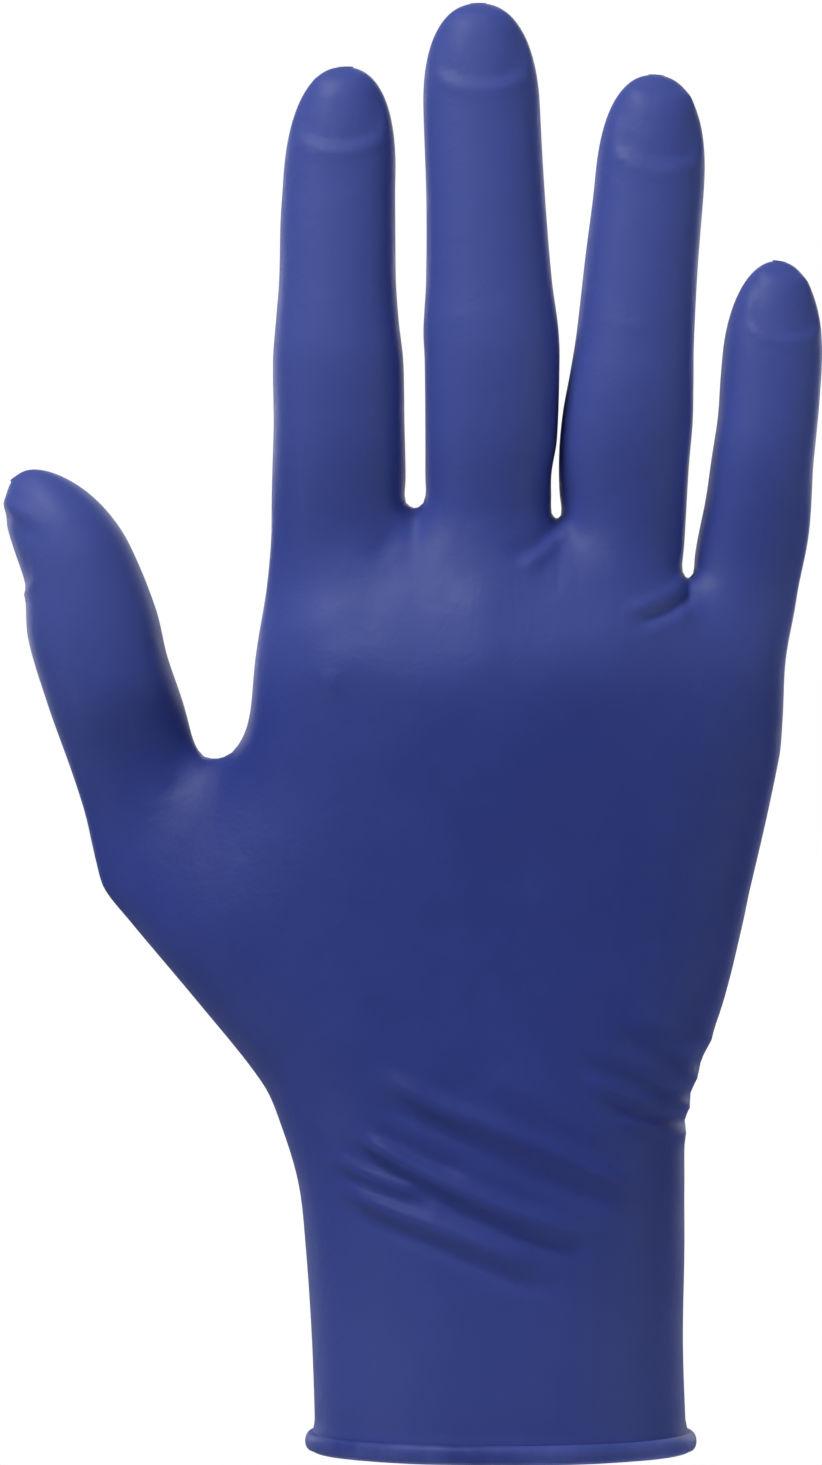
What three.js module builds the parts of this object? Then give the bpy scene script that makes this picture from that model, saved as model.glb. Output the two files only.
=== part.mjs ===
// A nitrile exam glove in the shape that it has on a right hand, seen on the back of the hand.
// Units are millimetres. +Z runs from the cuff to the fingertips, the back of the hand faces -Y
// and the thumb lies towards -X. The origin is the centre of the cuff's mouth.
//
// The glove is one dipped film, so it is one solid: an outer skin, an inner skin one wall inside it
// and the rolled bead that joins the two at the cuff. Both skins are the same net of quads. Its rows
// run round the whole hand up to the thumb's web, then round the four fingers' palm, then round
// each finger. Every finger and the thumb own a strand of columns that runs down to the cuff.

import * as THREE from "three";

// Film and bead
const wallThickness = 1;
const beadHeight = 2.8;
const beadStandOut = 1.3; // beyond the film's outer face
const beadFillet = 1.5; // height over which the film runs out into the bead

// Hand
const gloveLength = 240; // from the bead's lower edge to the middle fingertip
const cuffWidth = 61.2;
const cuffDepth = 44.8;
const wristHeight = 54;
const thumbWebHeight = 114.8;
const palmDepth = 30;

// Heights at which the fingers part: the index's free side, the three webs and the little's free side
const indexSideHeight = 152;
const indexWebHeight = 156.8;
const middleWebHeight = 154.8;
const ringWebHeight = 145.2;
const littleSideHeight = 142;

// Folds over the wrist
const foldRise = 0.9;
const foldSpan = 2.6; // half the width of a fold
const foldSlant = 0.4; // how far the folds fall for each millimetre towards the little finger

// Share of the thumb web's height from which the thumb stands out of the palm, and how late the
// film sinks into a web
const partingStart = 0.68;
const webRounding = 3.4;

// The digits. gap is the one to the next digit, tipShift runs towards the little finger, bend
// towards the palm, and dome is the length of the rounded tip.
const thumb = {
  width: 21.6, depth: 22, tipHeight: 161.6, tipShift: -22.3, centreY: 5, bend: 2, gap: 4.6,
  dome: 15, domeSquare: 2, leftFoot: 105.5, rightFoot: thumbWebHeight,
};
const index = {
  width: 22.2, depth: 19.6, tipHeight: 229.4, tipShift: 0.9, centreY: 0.4, bend: 4.5, gap: 3,
  dome: 19.4, domeSquare: 2.3, leftFoot: indexSideHeight, rightFoot: indexWebHeight,
};
const middle = {
  width: 21.3, depth: 20, tipHeight: gloveLength, tipShift: -1.7, centreY: -0.4, bend: 5.5, gap: 1.2,
  dome: 18, domeSquare: 2.3, leftFoot: indexWebHeight, rightFoot: middleWebHeight,
};
const ring = {
  width: 20.4, depth: 19, tipHeight: 228.2, tipShift: 6, centreY: 0.4, bend: 5.5, gap: 1.4,
  dome: 18.2, domeSquare: 2.3, leftFoot: middleWebHeight, rightFoot: ringWebHeight,
};
const little = {
  width: 18.4, depth: 16.8, tipHeight: 197.2, tipShift: 5.7, centreY: 1.8, bend: 4, gap: 0,
  dome: 17.1, domeSquare: 2.1, leftFoot: ringWebHeight, rightFoot: littleSideHeight,
};
const digits = [thumb, index, middle, ring, little];
const fingers = [index, middle, ring, little];

// Sections of each digit from its foot (up 0) to its tip (up 1). across and width are shares of its
// width, dorsal and palmar of its depth, bend of its bend. turn is the slope of the section in degrees.
thumb.sections = [
  { up: 0, across: 0, width: 1.1, dorsal: 0.5, palmar: 0.5, bend: 0, turn: 24 },
  { up: 0.142, across: 0, width: 1.01, dorsal: 0.5, palmar: 0.5, bend: 0, turn: 20 },
  { up: 0.338, across: 0.03, width: 0.99, dorsal: 0.49, palmar: 0.5, bend: 0.1, turn: 18 },
  { up: 0.523, across: 0.1, width: 1.01, dorsal: 0.5, palmar: 0.5, bend: 0.3, turn: 13.5 },
  { up: 0.72, across: 0.18, width: 0.87, dorsal: 0.49, palmar: 0.47, bend: 0.6, turn: 20 },
  { up: 0.868, across: 0.13, width: 0.85, dorsal: 0.47, palmar: 0.44, bend: 0.8, turn: 30 },
  { up: 1, across: 0, width: 0.84, dorsal: 0.45, palmar: 0.42, bend: 1, turn: 44 },
];
index.sections = [
  { up: 0, across: 0, width: 1, dorsal: 0.5, palmar: 0.5, bend: 0, turn: 8 },
  { up: 0.2, across: -0.01, width: 0.977, dorsal: 0.49, palmar: 0.51, bend: 0, turn: 0 },
  { up: 0.35, across: -0.023, width: 0.973, dorsal: 0.51, palmar: 0.48, bend: 0.02, turn: -1 },
  { up: 0.435, across: -0.032, width: 0.919, dorsal: 0.48, palmar: 0.47, bend: 0.08, turn: -1 },
  { up: 0.525, across: -0.035, width: 0.874, dorsal: 0.45, palmar: 0.48, bend: 0.2, turn: -1 },
  { up: 0.655, across: -0.038, width: 0.86, dorsal: 0.42, palmar: 0.46, bend: 0.42, turn: -1 },
  { up: 0.75, across: -0.032, width: 0.84, dorsal: 0.4, palmar: 0.47, bend: 0.6, turn: -1 },
  { up: 1, across: 0, width: 0.835, dorsal: 0.38, palmar: 0.46, bend: 1, turn: -1 },
];
middle.sections = [
  { up: 0, across: 0, width: 1, dorsal: 0.5, palmar: 0.5, bend: 0, turn: -4 },
  { up: 0.07, across: 0.002, width: 0.981, dorsal: 0.495, palmar: 0.505, bend: 0, turn: -1 },
  { up: 0.14, across: 0.03, width: 1.023, dorsal: 0.49, palmar: 0.51, bend: 0, turn: 0 },
  { up: 0.295, across: 0.05, width: 1.05, dorsal: 0.51, palmar: 0.49, bend: 0.02, turn: 1 },
  { up: 0.355, across: 0.045, width: 1.05, dorsal: 0.5, palmar: 0.47, bend: 0.05, turn: 1 },
  { up: 0.45, across: 0.038, width: 0.981, dorsal: 0.46, palmar: 0.48, bend: 0.14, turn: 1 },
  { up: 0.61, across: 0.027, width: 0.927, dorsal: 0.43, palmar: 0.46, bend: 0.36, turn: 1 },
  { up: 0.77, across: 0.012, width: 0.912, dorsal: 0.4, palmar: 0.47, bend: 0.62, turn: 1 },
  { up: 1, across: 0, width: 0.905, dorsal: 0.38, palmar: 0.46, bend: 1, turn: 1 },
];
ring.sections = [
  { up: 0, across: 0, width: 1, dorsal: 0.5, palmar: 0.5, bend: 0, turn: -20 },
  { up: 0.18, across: -0.034, width: 1.058, dorsal: 0.49, palmar: 0.51, bend: 0, turn: -8 },
  { up: 0.27, across: -0.03, width: 1.058, dorsal: 0.5, palmar: 0.49, bend: 0.02, turn: -5 },
  { up: 0.35, across: -0.022, width: 1.01, dorsal: 0.5, palmar: 0.48, bend: 0.06, turn: -4.5 },
  { up: 0.435, across: -0.018, width: 0.96, dorsal: 0.47, palmar: 0.48, bend: 0.14, turn: -4.5 },
  { up: 0.6, across: -0.012, width: 0.92, dorsal: 0.43, palmar: 0.46, bend: 0.36, turn: -4.5 },
  { up: 0.77, across: 0.006, width: 0.892, dorsal: 0.4, palmar: 0.47, bend: 0.62, turn: -4.5 },
  { up: 1, across: 0, width: 0.885, dorsal: 0.38, palmar: 0.46, bend: 1, turn: -4.5 },
];
little.sections = [
  { up: 0, across: 0, width: 1, dorsal: 0.5, palmar: 0.5, bend: 0, turn: -10 },
  { up: 0.13, across: 0.019, width: 1.01, dorsal: 0.49, palmar: 0.51, bend: 0, turn: -7 },
  { up: 0.25, across: 0.03, width: 0.962, dorsal: 0.5, palmar: 0.5, bend: 0.02, turn: -6 },
  { up: 0.38, across: 0.027, width: 0.92, dorsal: 0.48, palmar: 0.49, bend: 0.1, turn: -6 },
  { up: 0.5, across: 0.035, width: 0.902, dorsal: 0.45, palmar: 0.47, bend: 0.25, turn: -6 },
  { up: 0.62, across: 0.027, width: 0.908, dorsal: 0.43, palmar: 0.47, bend: 0.42, turn: -6 },
  { up: 1, across: 0, width: 0.885, dorsal: 0.39, palmar: 0.46, bend: 1, turn: -6 },
];

// Outline of the hand with the thumb: below the wrist as shares of the cuff's width and depth and
// of the wrist's height, above it as shares of the palm's width and depth and of the palm's length.
const sleeve = [
  { up: 0, left: -0.503, right: 0.5, dorsal: 0.5, palmar: 0.5, square: 2.1 },
  { up: 0.33, left: -0.513, right: 0.491, dorsal: 0.5, palmar: 0.49, square: 2.1 },
  { up: 0.62, left: -0.53, right: 0.495, dorsal: 0.48, palmar: 0.475, square: 2.15 },
  { up: 0.82, left: -0.55, right: 0.495, dorsal: 0.465, palmar: 0.465, square: 2.2 },
];
const palm = [
  { up: 0, left: -0.416, right: 0.347, dorsal: 0.67, palmar: 0.69, square: 2.25 },
  { up: 0.067, left: -0.451, right: 0.364, dorsal: 0.65, palmar: 0.7, square: 2.3 },
  { up: 0.196, left: -0.571, right: 0.417, dorsal: 0.61, palmar: 0.72, square: 2.4 },
  { up: 0.325, left: -0.7, right: 0.455, dorsal: 0.57, palmar: 0.7, square: 2.5 },
  { up: 0.375, left: -0.75, right: 0.467, dorsal: 0.56, palmar: 0.69, square: 2.5 },
  { up: 0.4, left: -0.762, right: 0.474, dorsal: 0.55, palmar: 0.68, square: 2.5 },
  { up: 0.5, left: -0.79, right: 0.502, dorsal: 0.54, palmar: 0.64, square: 2.5 },
  { up: 0.59, left: -0.81, right: 0.523, dorsal: 0.53, palmar: 0.6, square: 2.5 },
];
// Outline of the palm without the thumb, in the palm's shares. split is where it meets the thumb.
const knuckles = [
  { up: 0, left: -0.36, split: -0.38, right: 0.347, dorsal: 0.66, palmar: 0.69, square: 2 },
  { up: 0.2, left: -0.45, split: -0.47, right: 0.417, dorsal: 0.62, palmar: 0.72, square: 2 },
  { up: 0.4, left: -0.49, split: -0.52, right: 0.474, dorsal: 0.57, palmar: 0.69, square: 2 },
  { up: 0.59, left: -0.492, split: -0.54, right: 0.523, dorsal: 0.53, palmar: 0.61, square: 2.05 },
  { up: 0.65, left: -0.477, split: -0.54, right: 0.53, dorsal: 0.52, palmar: 0.57, square: 2.15 },
  { up: 0.75, left: -0.464, split: -0.54, right: 0.537, dorsal: 0.52, palmar: 0.52, square: 2.3 },
  { up: 0.86, left: -0.445, split: -0.54, right: 0.561, dorsal: 0.5, palmar: 0.48, square: 2.4 },
  { up: 1, left: -0.432, split: -0.54, right: 0.572, dorsal: 0.46, palmar: 0.46, square: 2.4 },
];

// Folds on the back of the wrist: across as shares of the cuff's width, up of the wrist's height,
// rise and span of the fold's. A fold with a negative rise is a crease.
const folds = [
  { fromAcross: -0.02, fromUp: 1.16, toAcross: 0.31, toUp: 0.94, rise: 0.5, span: 0.9 },
  { fromAcross: -0.33, fromUp: 1.17, toAcross: 0.34, toUp: 0.8, rise: 1, span: 1 },
  { fromAcross: -0.33, fromUp: 1.1, toAcross: 0.3, toUp: 0.75, rise: -0.8, span: 0.8 },
  { fromAcross: -0.4, fromUp: 0.98, toAcross: 0.2, toUp: 0.68, rise: 0.9, span: 1 },
  { fromAcross: -0.42, fromUp: 0.91, toAcross: 0.16, toUp: 0.62, rise: -0.7, span: 0.8 },
  { fromAcross: -0.44, fromUp: 0.85, toAcross: 0.08, toUp: 0.6, rise: 0.9, span: 0.9 },
  { fromAcross: -0.44, fromUp: 0.8, toAcross: 0.12, toUp: 0.54, rise: -0.6, span: 0.9 },
  { fromAcross: 0.21, fromUp: 1.2, toAcross: 0.46, toUp: 1.08, rise: -0.7, span: 0.8 },
  { fromAcross: 0.2, fromUp: 1.12, toAcross: 0.46, toUp: 1.03, rise: 0.7, span: 0.8 },
];

// Net
const quadsAcross = 6; // on each side of each digit
const handLevels = [
  0.08, 0.16, 0.24, 0.27, 0.3, 0.33, 0.36, 0.39, 0.42, 0.45, 0.48, 0.51, 0.54, 0.57, 0.6,
  0.67, 0.75, 0.83, 0.9, 0.96, 1,
];
const knuckleLevels = [0.22, 0.42, 0.6, 0.76, 0.89, 0.965, 1];
const shaftRows = 8; // on each digit below its dome
const domeLevels = [0.34, 0.58, 0.77, 0.9, 0.97];
const beadAngles = [58, 20, -20, -60, -100, -140, -175];

// Derived sizes
const palmLength = indexWebHeight - wristHeight;
const gapsAcross = fingers.reduce((sum, finger) => sum + finger.gap, 0);
const palmWidth = fingers.reduce((sum, finger) => sum + finger.width, gapsAcross);
const skinStart = beadHeight + beadFillet;
index.left = knuckles.at(-1).left * palmWidth;
middle.left = index.left + index.width + index.gap;
ring.left = middle.left + middle.width + middle.gap;
little.left = ring.left + ring.width + ring.gap;
thumb.left = -0.79 * palmWidth;
thumb.footWidth = -thumb.left - thumb.gap + knuckles[3].left * palmWidth;

function mix(from, to, share) {
  return from + (to - from) * share;
}

function smooth(from, to, value) {
  const share = Math.min(1, Math.max(0, (value - from) / (to - from)));
  return share * share * (3 - 2 * share);
}

// One column of a table at a place along it, on a smooth curve through the rows
function readTable(rows, key, up) {
  const last = rows.length - 1;
  let i = 0;
  while (i < last - 1 && up > rows[i + 1].up) {
    i += 1;
  }
  const slopeAt = (k) => {
    const before = rows[Math.max(0, k - 1)];
    const after = rows[Math.min(last, k + 1)];
    return (after[key] - before[key]) / (after.up - before.up);
  };
  const span = rows[i + 1].up - rows[i].up;
  const t = Math.min(1, Math.max(0, (up - rows[i].up) / span));
  const start = rows[i][key] * (1 + 2 * t) * (1 - t) ** 2 + slopeAt(i) * span * t * (1 - t) ** 2;
  const end = rows[i + 1][key] * (3 - 2 * t) * t ** 2 - slopeAt(i + 1) * span * (1 - t) * t ** 2;
  return start + end;
}

// Rows of the sleeve and the palm in millimetres, as one table up the hand
const handRows = [
  ...sleeve.map((row) => ({
    up: row.up * wristHeight,
    left: row.left * cuffWidth,
    right: row.right * cuffWidth,
    dorsal: row.dorsal * cuffDepth,
    palmar: row.palmar * cuffDepth,
    square: row.square,
  })),
  ...palm.map((row) => scaleToPalm(row)),
];
const knuckleTable = knuckles.map((row) => scaleToPalm(row));

function scaleToPalm(row) {
  return {
    up: wristHeight + row.up * palmLength,
    left: row.left * palmWidth,
    split: (row.split ?? 0) * palmWidth,
    right: row.right * palmWidth,
    dorsal: row.dorsal * palmDepth,
    palmar: row.palmar * palmDepth,
    square: row.square,
  };
}

// A point on a rounded section: angle 0 is its left edge and 180 degrees its right edge
function sectionPoint(section, angle, side) {
  const power = 2 / section.square;
  const across = -Math.sign(Math.cos(angle)) * Math.abs(Math.cos(angle)) ** power;
  const out = Math.abs(Math.sin(angle)) ** power;
  const depth = side === "dorsal" ? -section.dorsal : section.palmar;
  return {
    x: mix(section.left, section.right, (across + 1) / 2),
    y: section.centreY + depth * out,
  };
}

function tableSection(rows, height, leftKey, rightKey) {
  return {
    left: readTable(rows, leftKey, height),
    right: readTable(rows, rightKey, height),
    dorsal: readTable(rows, "dorsal", height),
    palmar: readTable(rows, "palmar", height),
    square: readTable(rows, "square", height),
    centreY: 0,
  };
}

// A digit's own section where it is still part of the hand
function footSection(digit, height) {
  const foot = digit.sections[0];
  const hand = tableSection(handRows, height, "left", "right");
  const bare = tableSection(knuckleTable, height, "left", "right");
  let left = digit.left;
  let right = digit.left + digit.width;
  if (digit === thumb) {
    left = hand.left;
    right = readTable(knuckleTable, "split", height);
  }
  if (digit === index) {
    left = bare.left;
  }
  if (digit === little) {
    right = bare.right;
  }
  return {
    left,
    right,
    dorsal: foot.dorsal * digit.depth,
    palmar: foot.palmar * digit.depth,
    square: 2.2,
    centreY: digit.centreY,
  };
}

// Angles of a column round the whole hand, round the four fingers' palm and round its own digit
function columnAngles(digit, column) {
  const strand = digits.indexOf(digit);
  const perStrand = quadsAcross + 1;
  const place = strand * perStrand + column;
  return {
    hand: (Math.PI * place) / (digits.length * perStrand - 1),
    palm: (Math.PI * (place - perStrand)) / (fingers.length * perStrand - 1),
    own: (Math.PI * column) / quadsAcross,
  };
}

function footHeight(digit, column) {
  const share = (1 - Math.cos((Math.PI * column) / quadsAcross)) / 2;
  return mix(digit.leftFoot, digit.rightFoot, share);
}

// A section on its way into the parted ones. Beside a web the valley sinks late, so that the film
// rounds over into the web; elsewhere the change is even.
function parting(whole, own, ownSection, side, share, besideWeb) {
  const even = smooth(0, 1, share);
  const valley = mix(even, share ** webRounding, besideWeb);
  const ridge = ownSection.centreY + (side === "dorsal" ? -ownSection.dorsal : ownSection.palmar);
  return {
    x: mix(whole.x, own.x, even),
    y: mix(whole.y, ridge, even) + (own.y - ridge) * valley,
  };
}

function shareBetween(from, to, value) {
  return Math.min(1, Math.max(0, (value - from) / (to - from)));
}

// Below the thumb's web the section goes over from one ring to a thumb beside a palm
function lowerPoint(digit, column, side, level) {
  const angles = columnAngles(digit, column);
  const top = digit === thumb ? footHeight(thumb, column) : thumbWebHeight;
  const lift = (top - thumbWebHeight) * smooth(0.6 * thumbWebHeight, thumbWebHeight, level);
  const slant = smooth(0.1 * wristHeight, 0.85 * wristHeight, level)
    * (1 - smooth(1.15 * wristHeight, 1.75 * wristHeight, level));
  const height = level + lift + foldSlant * slant * Math.cos(angles.hand) * cuffWidth * 0.5;
  const whole = sectionPoint(tableSection(handRows, height, "left", "right"), angles.hand, side);
  const isThumb = digit === thumb;
  const section = isThumb
    ? footSection(thumb, height)
    : tableSection(knuckleTable, height, "left", "right");
  const own = sectionPoint(section, isThumb ? angles.own : angles.palm, side);
  const share = shareBetween(partingStart * thumbWebHeight, top, height);
  const nearEdge = Math.cos(angles.own) ** 4;
  let besideWeb = 0;
  if (isThumb && angles.own > Math.PI / 2) {
    besideWeb = nearEdge;
  }
  if (digit === index) {
    besideWeb = 1 - smooth(0, 1, column / quadsAcross);
  }
  const point = parting(whole, own, section, side, share, besideWeb);
  return [point.x, point.y, height];
}

// Between the thumb's web and the fingers' webs the palm goes over to four fingers
function upperPoint(digit, column, side, level) {
  const angles = columnAngles(digit, column);
  const top = footHeight(digit, column);
  const height = mix(thumbWebHeight, top, level);
  const whole = sectionPoint(tableSection(knuckleTable, height, "left", "right"), angles.palm, side);
  const section = footSection(digit, height);
  const own = sectionPoint(section, angles.own, side);
  const start = mix(thumbWebHeight, top, side === "dorsal" ? 0 : 0.35);
  const onFreeHalf = (digit === index && angles.own < Math.PI / 2)
    || (digit === little && angles.own > Math.PI / 2);
  const besideWeb = onFreeHalf ? 0 : Math.cos(angles.own) ** 4;
  const point = parting(whole, own, section, side, shareBetween(start, top, height), besideWeb);
  return [point.x, point.y, height];
}

// On a free digit the sections follow its middle line and close in the dome
function digitPoint(digit, column, side, up) {
  const angle = (Math.PI * column) / quadsAcross;
  const read = (key) => readTable(digit.sections, key, up);
  const footX = digit === thumb ? thumb.left + thumb.footWidth / 2 : digit.left + digit.width / 2;
  const footZ = (digit.leftFoot + digit.rightFoot) / 2;
  const height = mix(footZ, digit.tipHeight, up);
  const inDome = Math.max(0, 1 - (digit.tipHeight - height) / digit.dome);
  const close = (1 - inDome ** digit.domeSquare) ** (1 / digit.domeSquare);
  const half = (read("width") * digit.width * close) / 2;
  const section = {
    left: -half,
    right: half,
    dorsal: read("dorsal") * digit.depth * close,
    palmar: read("palmar") * digit.depth * close,
    square: 2.2,
    centreY: digit.centreY + read("bend") * digit.bend,
  };
  const point = sectionPoint(section, angle, side);
  const turn = (read("turn") * Math.PI) / 180;
  const middleX = footX + digit.tipShift * up + read("across") * digit.width;
  return [middleX + point.x * Math.cos(turn), point.y, height + point.x * Math.sin(turn)];
}

// Height of the folds over the plain form at a place on the back of the wrist
function foldHeight(x, z) {
  let rise = 0;
  for (const fold of folds) {
    const fromX = fold.fromAcross * cuffWidth;
    const fromZ = fold.fromUp * wristHeight;
    const alongX = fold.toAcross * cuffWidth - fromX;
    const alongZ = fold.toUp * wristHeight - fromZ;
    const length = Math.hypot(alongX, alongZ);
    const share = ((x - fromX) * alongX + (z - fromZ) * alongZ) / length ** 2;
    const held = Math.min(1, Math.max(0, share));
    const distance = Math.hypot(x - fromX - held * alongX, z - fromZ - held * alongZ);
    rise += fold.rise * foldRise * Math.exp(-((distance / (fold.span * foldSpan)) ** 2));
  }
  return rise;
}

// The skin: points and faces. A corner on the outline or on a web is shared by both sides.
const points = [];
const faces = [];
const known = new Map();

function corner(digit, column, side, row, shared, place) {
  const key = [digits.indexOf(digit), column, shared ? "both" : side, row].join(" ");
  if (!known.has(key)) {
    known.set(key, points.length);
    points.push(place());
  }
  return known.get(key);
}

function addQuad(side, lowLeft, lowRight, highRight, highLeft) {
  const quad = side === "dorsal"
    ? [lowLeft, lowRight, highRight, highLeft]
    : [lowRight, lowLeft, highLeft, highRight];
  for (const triangle of [[quad[0], quad[1], quad[2]], [quad[0], quad[2], quad[3]]]) {
    if (new Set(triangle).size === 3) {
      faces.push(triangle);
    }
  }
}

// One ring of the joined hand, as the corners of one side from left to right
function handRing(strands, side, row, parted, place) {
  const line = [];
  for (const digit of strands) {
    for (let column = 0; column <= quadsAcross; column += 1) {
      const first = digit === strands[0] && column === 0;
      const last = digit === strands.at(-1) && column === quadsAcross;
      const shared = first || last || parted(digit, column);
      line.push(corner(digit, column, side, row, shared, () => place(digit, column)));
    }
  }
  return line;
}

function digitRing(digit, side, row, up) {
  const line = [];
  for (let column = 0; column <= quadsAcross; column += 1) {
    const shared = column === 0 || column === quadsAcross;
    line.push(corner(digit, column, side, row, shared, () => digitPoint(digit, column, side, up)));
  }
  return line;
}

function stitch(side, low, high) {
  for (let i = 0; i < low.length - 1; i += 1) {
    addQuad(side, low[i], low[i + 1], high[i + 1], high[i]);
  }
}

const levels = [0, ...handLevels].map((share) => mix(skinStart, thumbWebHeight, share));
const mouth = { dorsal: [], palmar: [] };

for (const side of ["dorsal", "palmar"]) {
  let below = null;
  levels.forEach((level, row) => {
    const atWeb = row === levels.length - 1;
    const parted = (digit, column) => atWeb
      && ((digit === thumb && column === quadsAcross) || (digit === index && column === 0));
    const place = (digit, column) => {
      const [x, y, z] = lowerPoint(digit, column, side, level);
      return [x, side === "dorsal" ? y - foldHeight(x, z) : y, z];
    };
    const line = handRing(digits, side, `hand ${row}`, parted, place);
    if (below) {
      stitch(side, below, line);
    } else {
      mouth[side] = line;
    }
    below = line;
  });

  const feet = new Map([[thumb, below.slice(0, quadsAcross + 1)]]);
  below = below.slice(quadsAcross + 1);
  for (const level of knuckleLevels) {
    const parted = (digit, column) => level === 1 && column % quadsAcross === 0;
    const place = (digit, column) => upperPoint(digit, column, side, level);
    const line = handRing(fingers, side, `palm ${level}`, parted, place);
    stitch(side, below, line);
    below = line;
  }
  fingers.forEach((digit, i) => {
    feet.set(digit, below.slice(i * (quadsAcross + 1), (i + 1) * (quadsAcross + 1)));
  });

  for (const digit of digits) {
    const length = digit.tipHeight - (digit.leftFoot + digit.rightFoot) / 2;
    const domeStart = 1 - digit.dome / length;
    let low = feet.get(digit);
    for (let row = 1; row <= shaftRows; row += 1) {
      const line = digitRing(digit, side, `shaft ${row}`, (domeStart * row) / shaftRows);
      stitch(side, low, line);
      low = line;
    }
    domeLevels.forEach((level, row) => {
      const line = digitRing(digit, side, `dome ${row}`, mix(domeStart, 1, level));
      stitch(side, low, line);
      low = line;
    });
    const tip = corner(digit, 0, side, "tip", true, () => digitPoint(digit, 0, side, 1));
    stitch(side, low, low.map(() => tip));
  }
}

// Directions straight out of the skin at its corners
const outward = points.map(() => new THREE.Vector3());
const corners = points.map((point) => new THREE.Vector3(...point));
for (const [a, b, c] of faces) {
  const sides = [corners[b].clone().sub(corners[a]), corners[c].clone().sub(corners[a])];
  const normal = sides[0].cross(sides[1]);
  for (const i of [a, b, c]) {
    outward[i].add(normal);
  }
}
for (const direction of outward) {
  direction.normalize();
}

// The inner skin is one wall inside the outer one and faces the other way
const outerCount = points.length;
for (let i = 0; i < outerCount; i += 1) {
  const inner = corners[i].clone().addScaledVector(outward[i], -wallThickness);
  points.push(inner.toArray());
}
for (const [a, b, c] of faces.slice()) {
  faces.push([c + outerCount, b + outerCount, a + outerCount]);
}

// The bead runs round the mouth between the two skins
const ringOfMouth = [...mouth.dorsal, ...mouth.palmar.slice(1, -1).reverse()];
let upper = ringOfMouth;
for (const angle of beadAngles) {
  const radians = (angle * Math.PI) / 180;
  const out = (beadStandOut - wallThickness) / 2 + ((beadStandOut + wallThickness) / 2) * Math.cos(radians);
  const height = (beadHeight / 2) * (1 + Math.sin(radians));
  const next = ringOfMouth.map((i) => {
    const flat = new THREE.Vector2(outward[i].x, outward[i].y).normalize();
    points.push([corners[i].x + flat.x * out, corners[i].y + flat.y * out, height]);
    return points.length - 1;
  });
  joinRings(next, upper);
  upper = next;
}
joinRings(ringOfMouth.map((i) => i + outerCount), upper);

function joinRings(low, high) {
  for (let i = 0; i < low.length; i += 1) {
    const next = (i + 1) % low.length;
    faces.push([low[i], low[next], high[next]]);
    faces.push([low[i], high[next], high[i]]);
  }
}

const geometry = new THREE.BufferGeometry();
geometry.setAttribute("position", new THREE.Float32BufferAttribute(points.flat(), 3));
geometry.setIndex(faces.flat());
geometry.computeVertexNormals();

const film = new THREE.MeshStandardMaterial({ color: 0x4a5ba0, roughness: 0.55, metalness: 0 });
film.name = "nitrile_film";

const glove = new THREE.Mesh(geometry, film);
glove.name = "glove";

const group = new THREE.Group();
group.name = "exam_glove";
group.add(glove);

export default group;
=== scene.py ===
import math

import bpy
import numpy as np
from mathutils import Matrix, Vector
from mathutils.kdtree import KDTree


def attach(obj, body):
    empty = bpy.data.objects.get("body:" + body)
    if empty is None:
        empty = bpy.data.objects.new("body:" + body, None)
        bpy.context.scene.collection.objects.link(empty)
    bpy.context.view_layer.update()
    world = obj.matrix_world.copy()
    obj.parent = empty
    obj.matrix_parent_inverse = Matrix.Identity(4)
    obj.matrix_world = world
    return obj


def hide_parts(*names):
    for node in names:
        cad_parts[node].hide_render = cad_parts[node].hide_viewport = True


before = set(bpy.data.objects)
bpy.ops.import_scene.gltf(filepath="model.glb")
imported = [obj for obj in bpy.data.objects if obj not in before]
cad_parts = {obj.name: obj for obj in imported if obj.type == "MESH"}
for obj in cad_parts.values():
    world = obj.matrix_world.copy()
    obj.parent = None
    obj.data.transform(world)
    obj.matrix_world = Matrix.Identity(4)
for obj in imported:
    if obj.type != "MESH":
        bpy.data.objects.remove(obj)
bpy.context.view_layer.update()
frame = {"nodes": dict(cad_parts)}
print("frame loaded:", ", ".join(frame["nodes"]))

# Camera first. It looks level at the glove's back, as high as its middle.
cameraView = {
    "place": (-0.0150, -1.05, 0.1189),
    "lens": 155.72,
    "sensor": 36.0,
    "farthest": 50.0,
}
cameraData = bpy.data.cameras.new("front_camera")
cameraData.lens = cameraView["lens"]
cameraData.sensor_width = cameraView["sensor"]
cameraData.clip_end = cameraView["farthest"]
cameraObject = bpy.data.objects.new("front_camera", cameraData)
cameraObject.location = cameraView["place"]
cameraObject.rotation_euler = (math.radians(90), 0, 0)
bpy.context.scene.collection.objects.link(cameraObject)
bpy.context.scene.camera = cameraObject
print("camera placed")

# The glove's sizes are millimetres. They become metres when the mesh is made.
handSizes = {
    "cuffWidth": 61.2,
    "cuffDepth": 44.8,
    "wristHeight": 54.0,
    "thumbWeb": 114.8,
    "indexWeb": 156.8,
    "palmDepth": 30.0,
    "digitSquare": 2.2,  # 2 is an ellipse, more is squarer
    "wall": 0.6,
}
netSizes = {
    "filmStart": 0.9,  # the film's lower edge, inside the bead
    "columnSteps": 4,  # net columns in one seventh of a digit's strand
    "rowStep": 0.85,
    "domeRows": 28,
    "footFade": 0.22,  # share of a digit over which its foot's own form fades out
}

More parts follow.
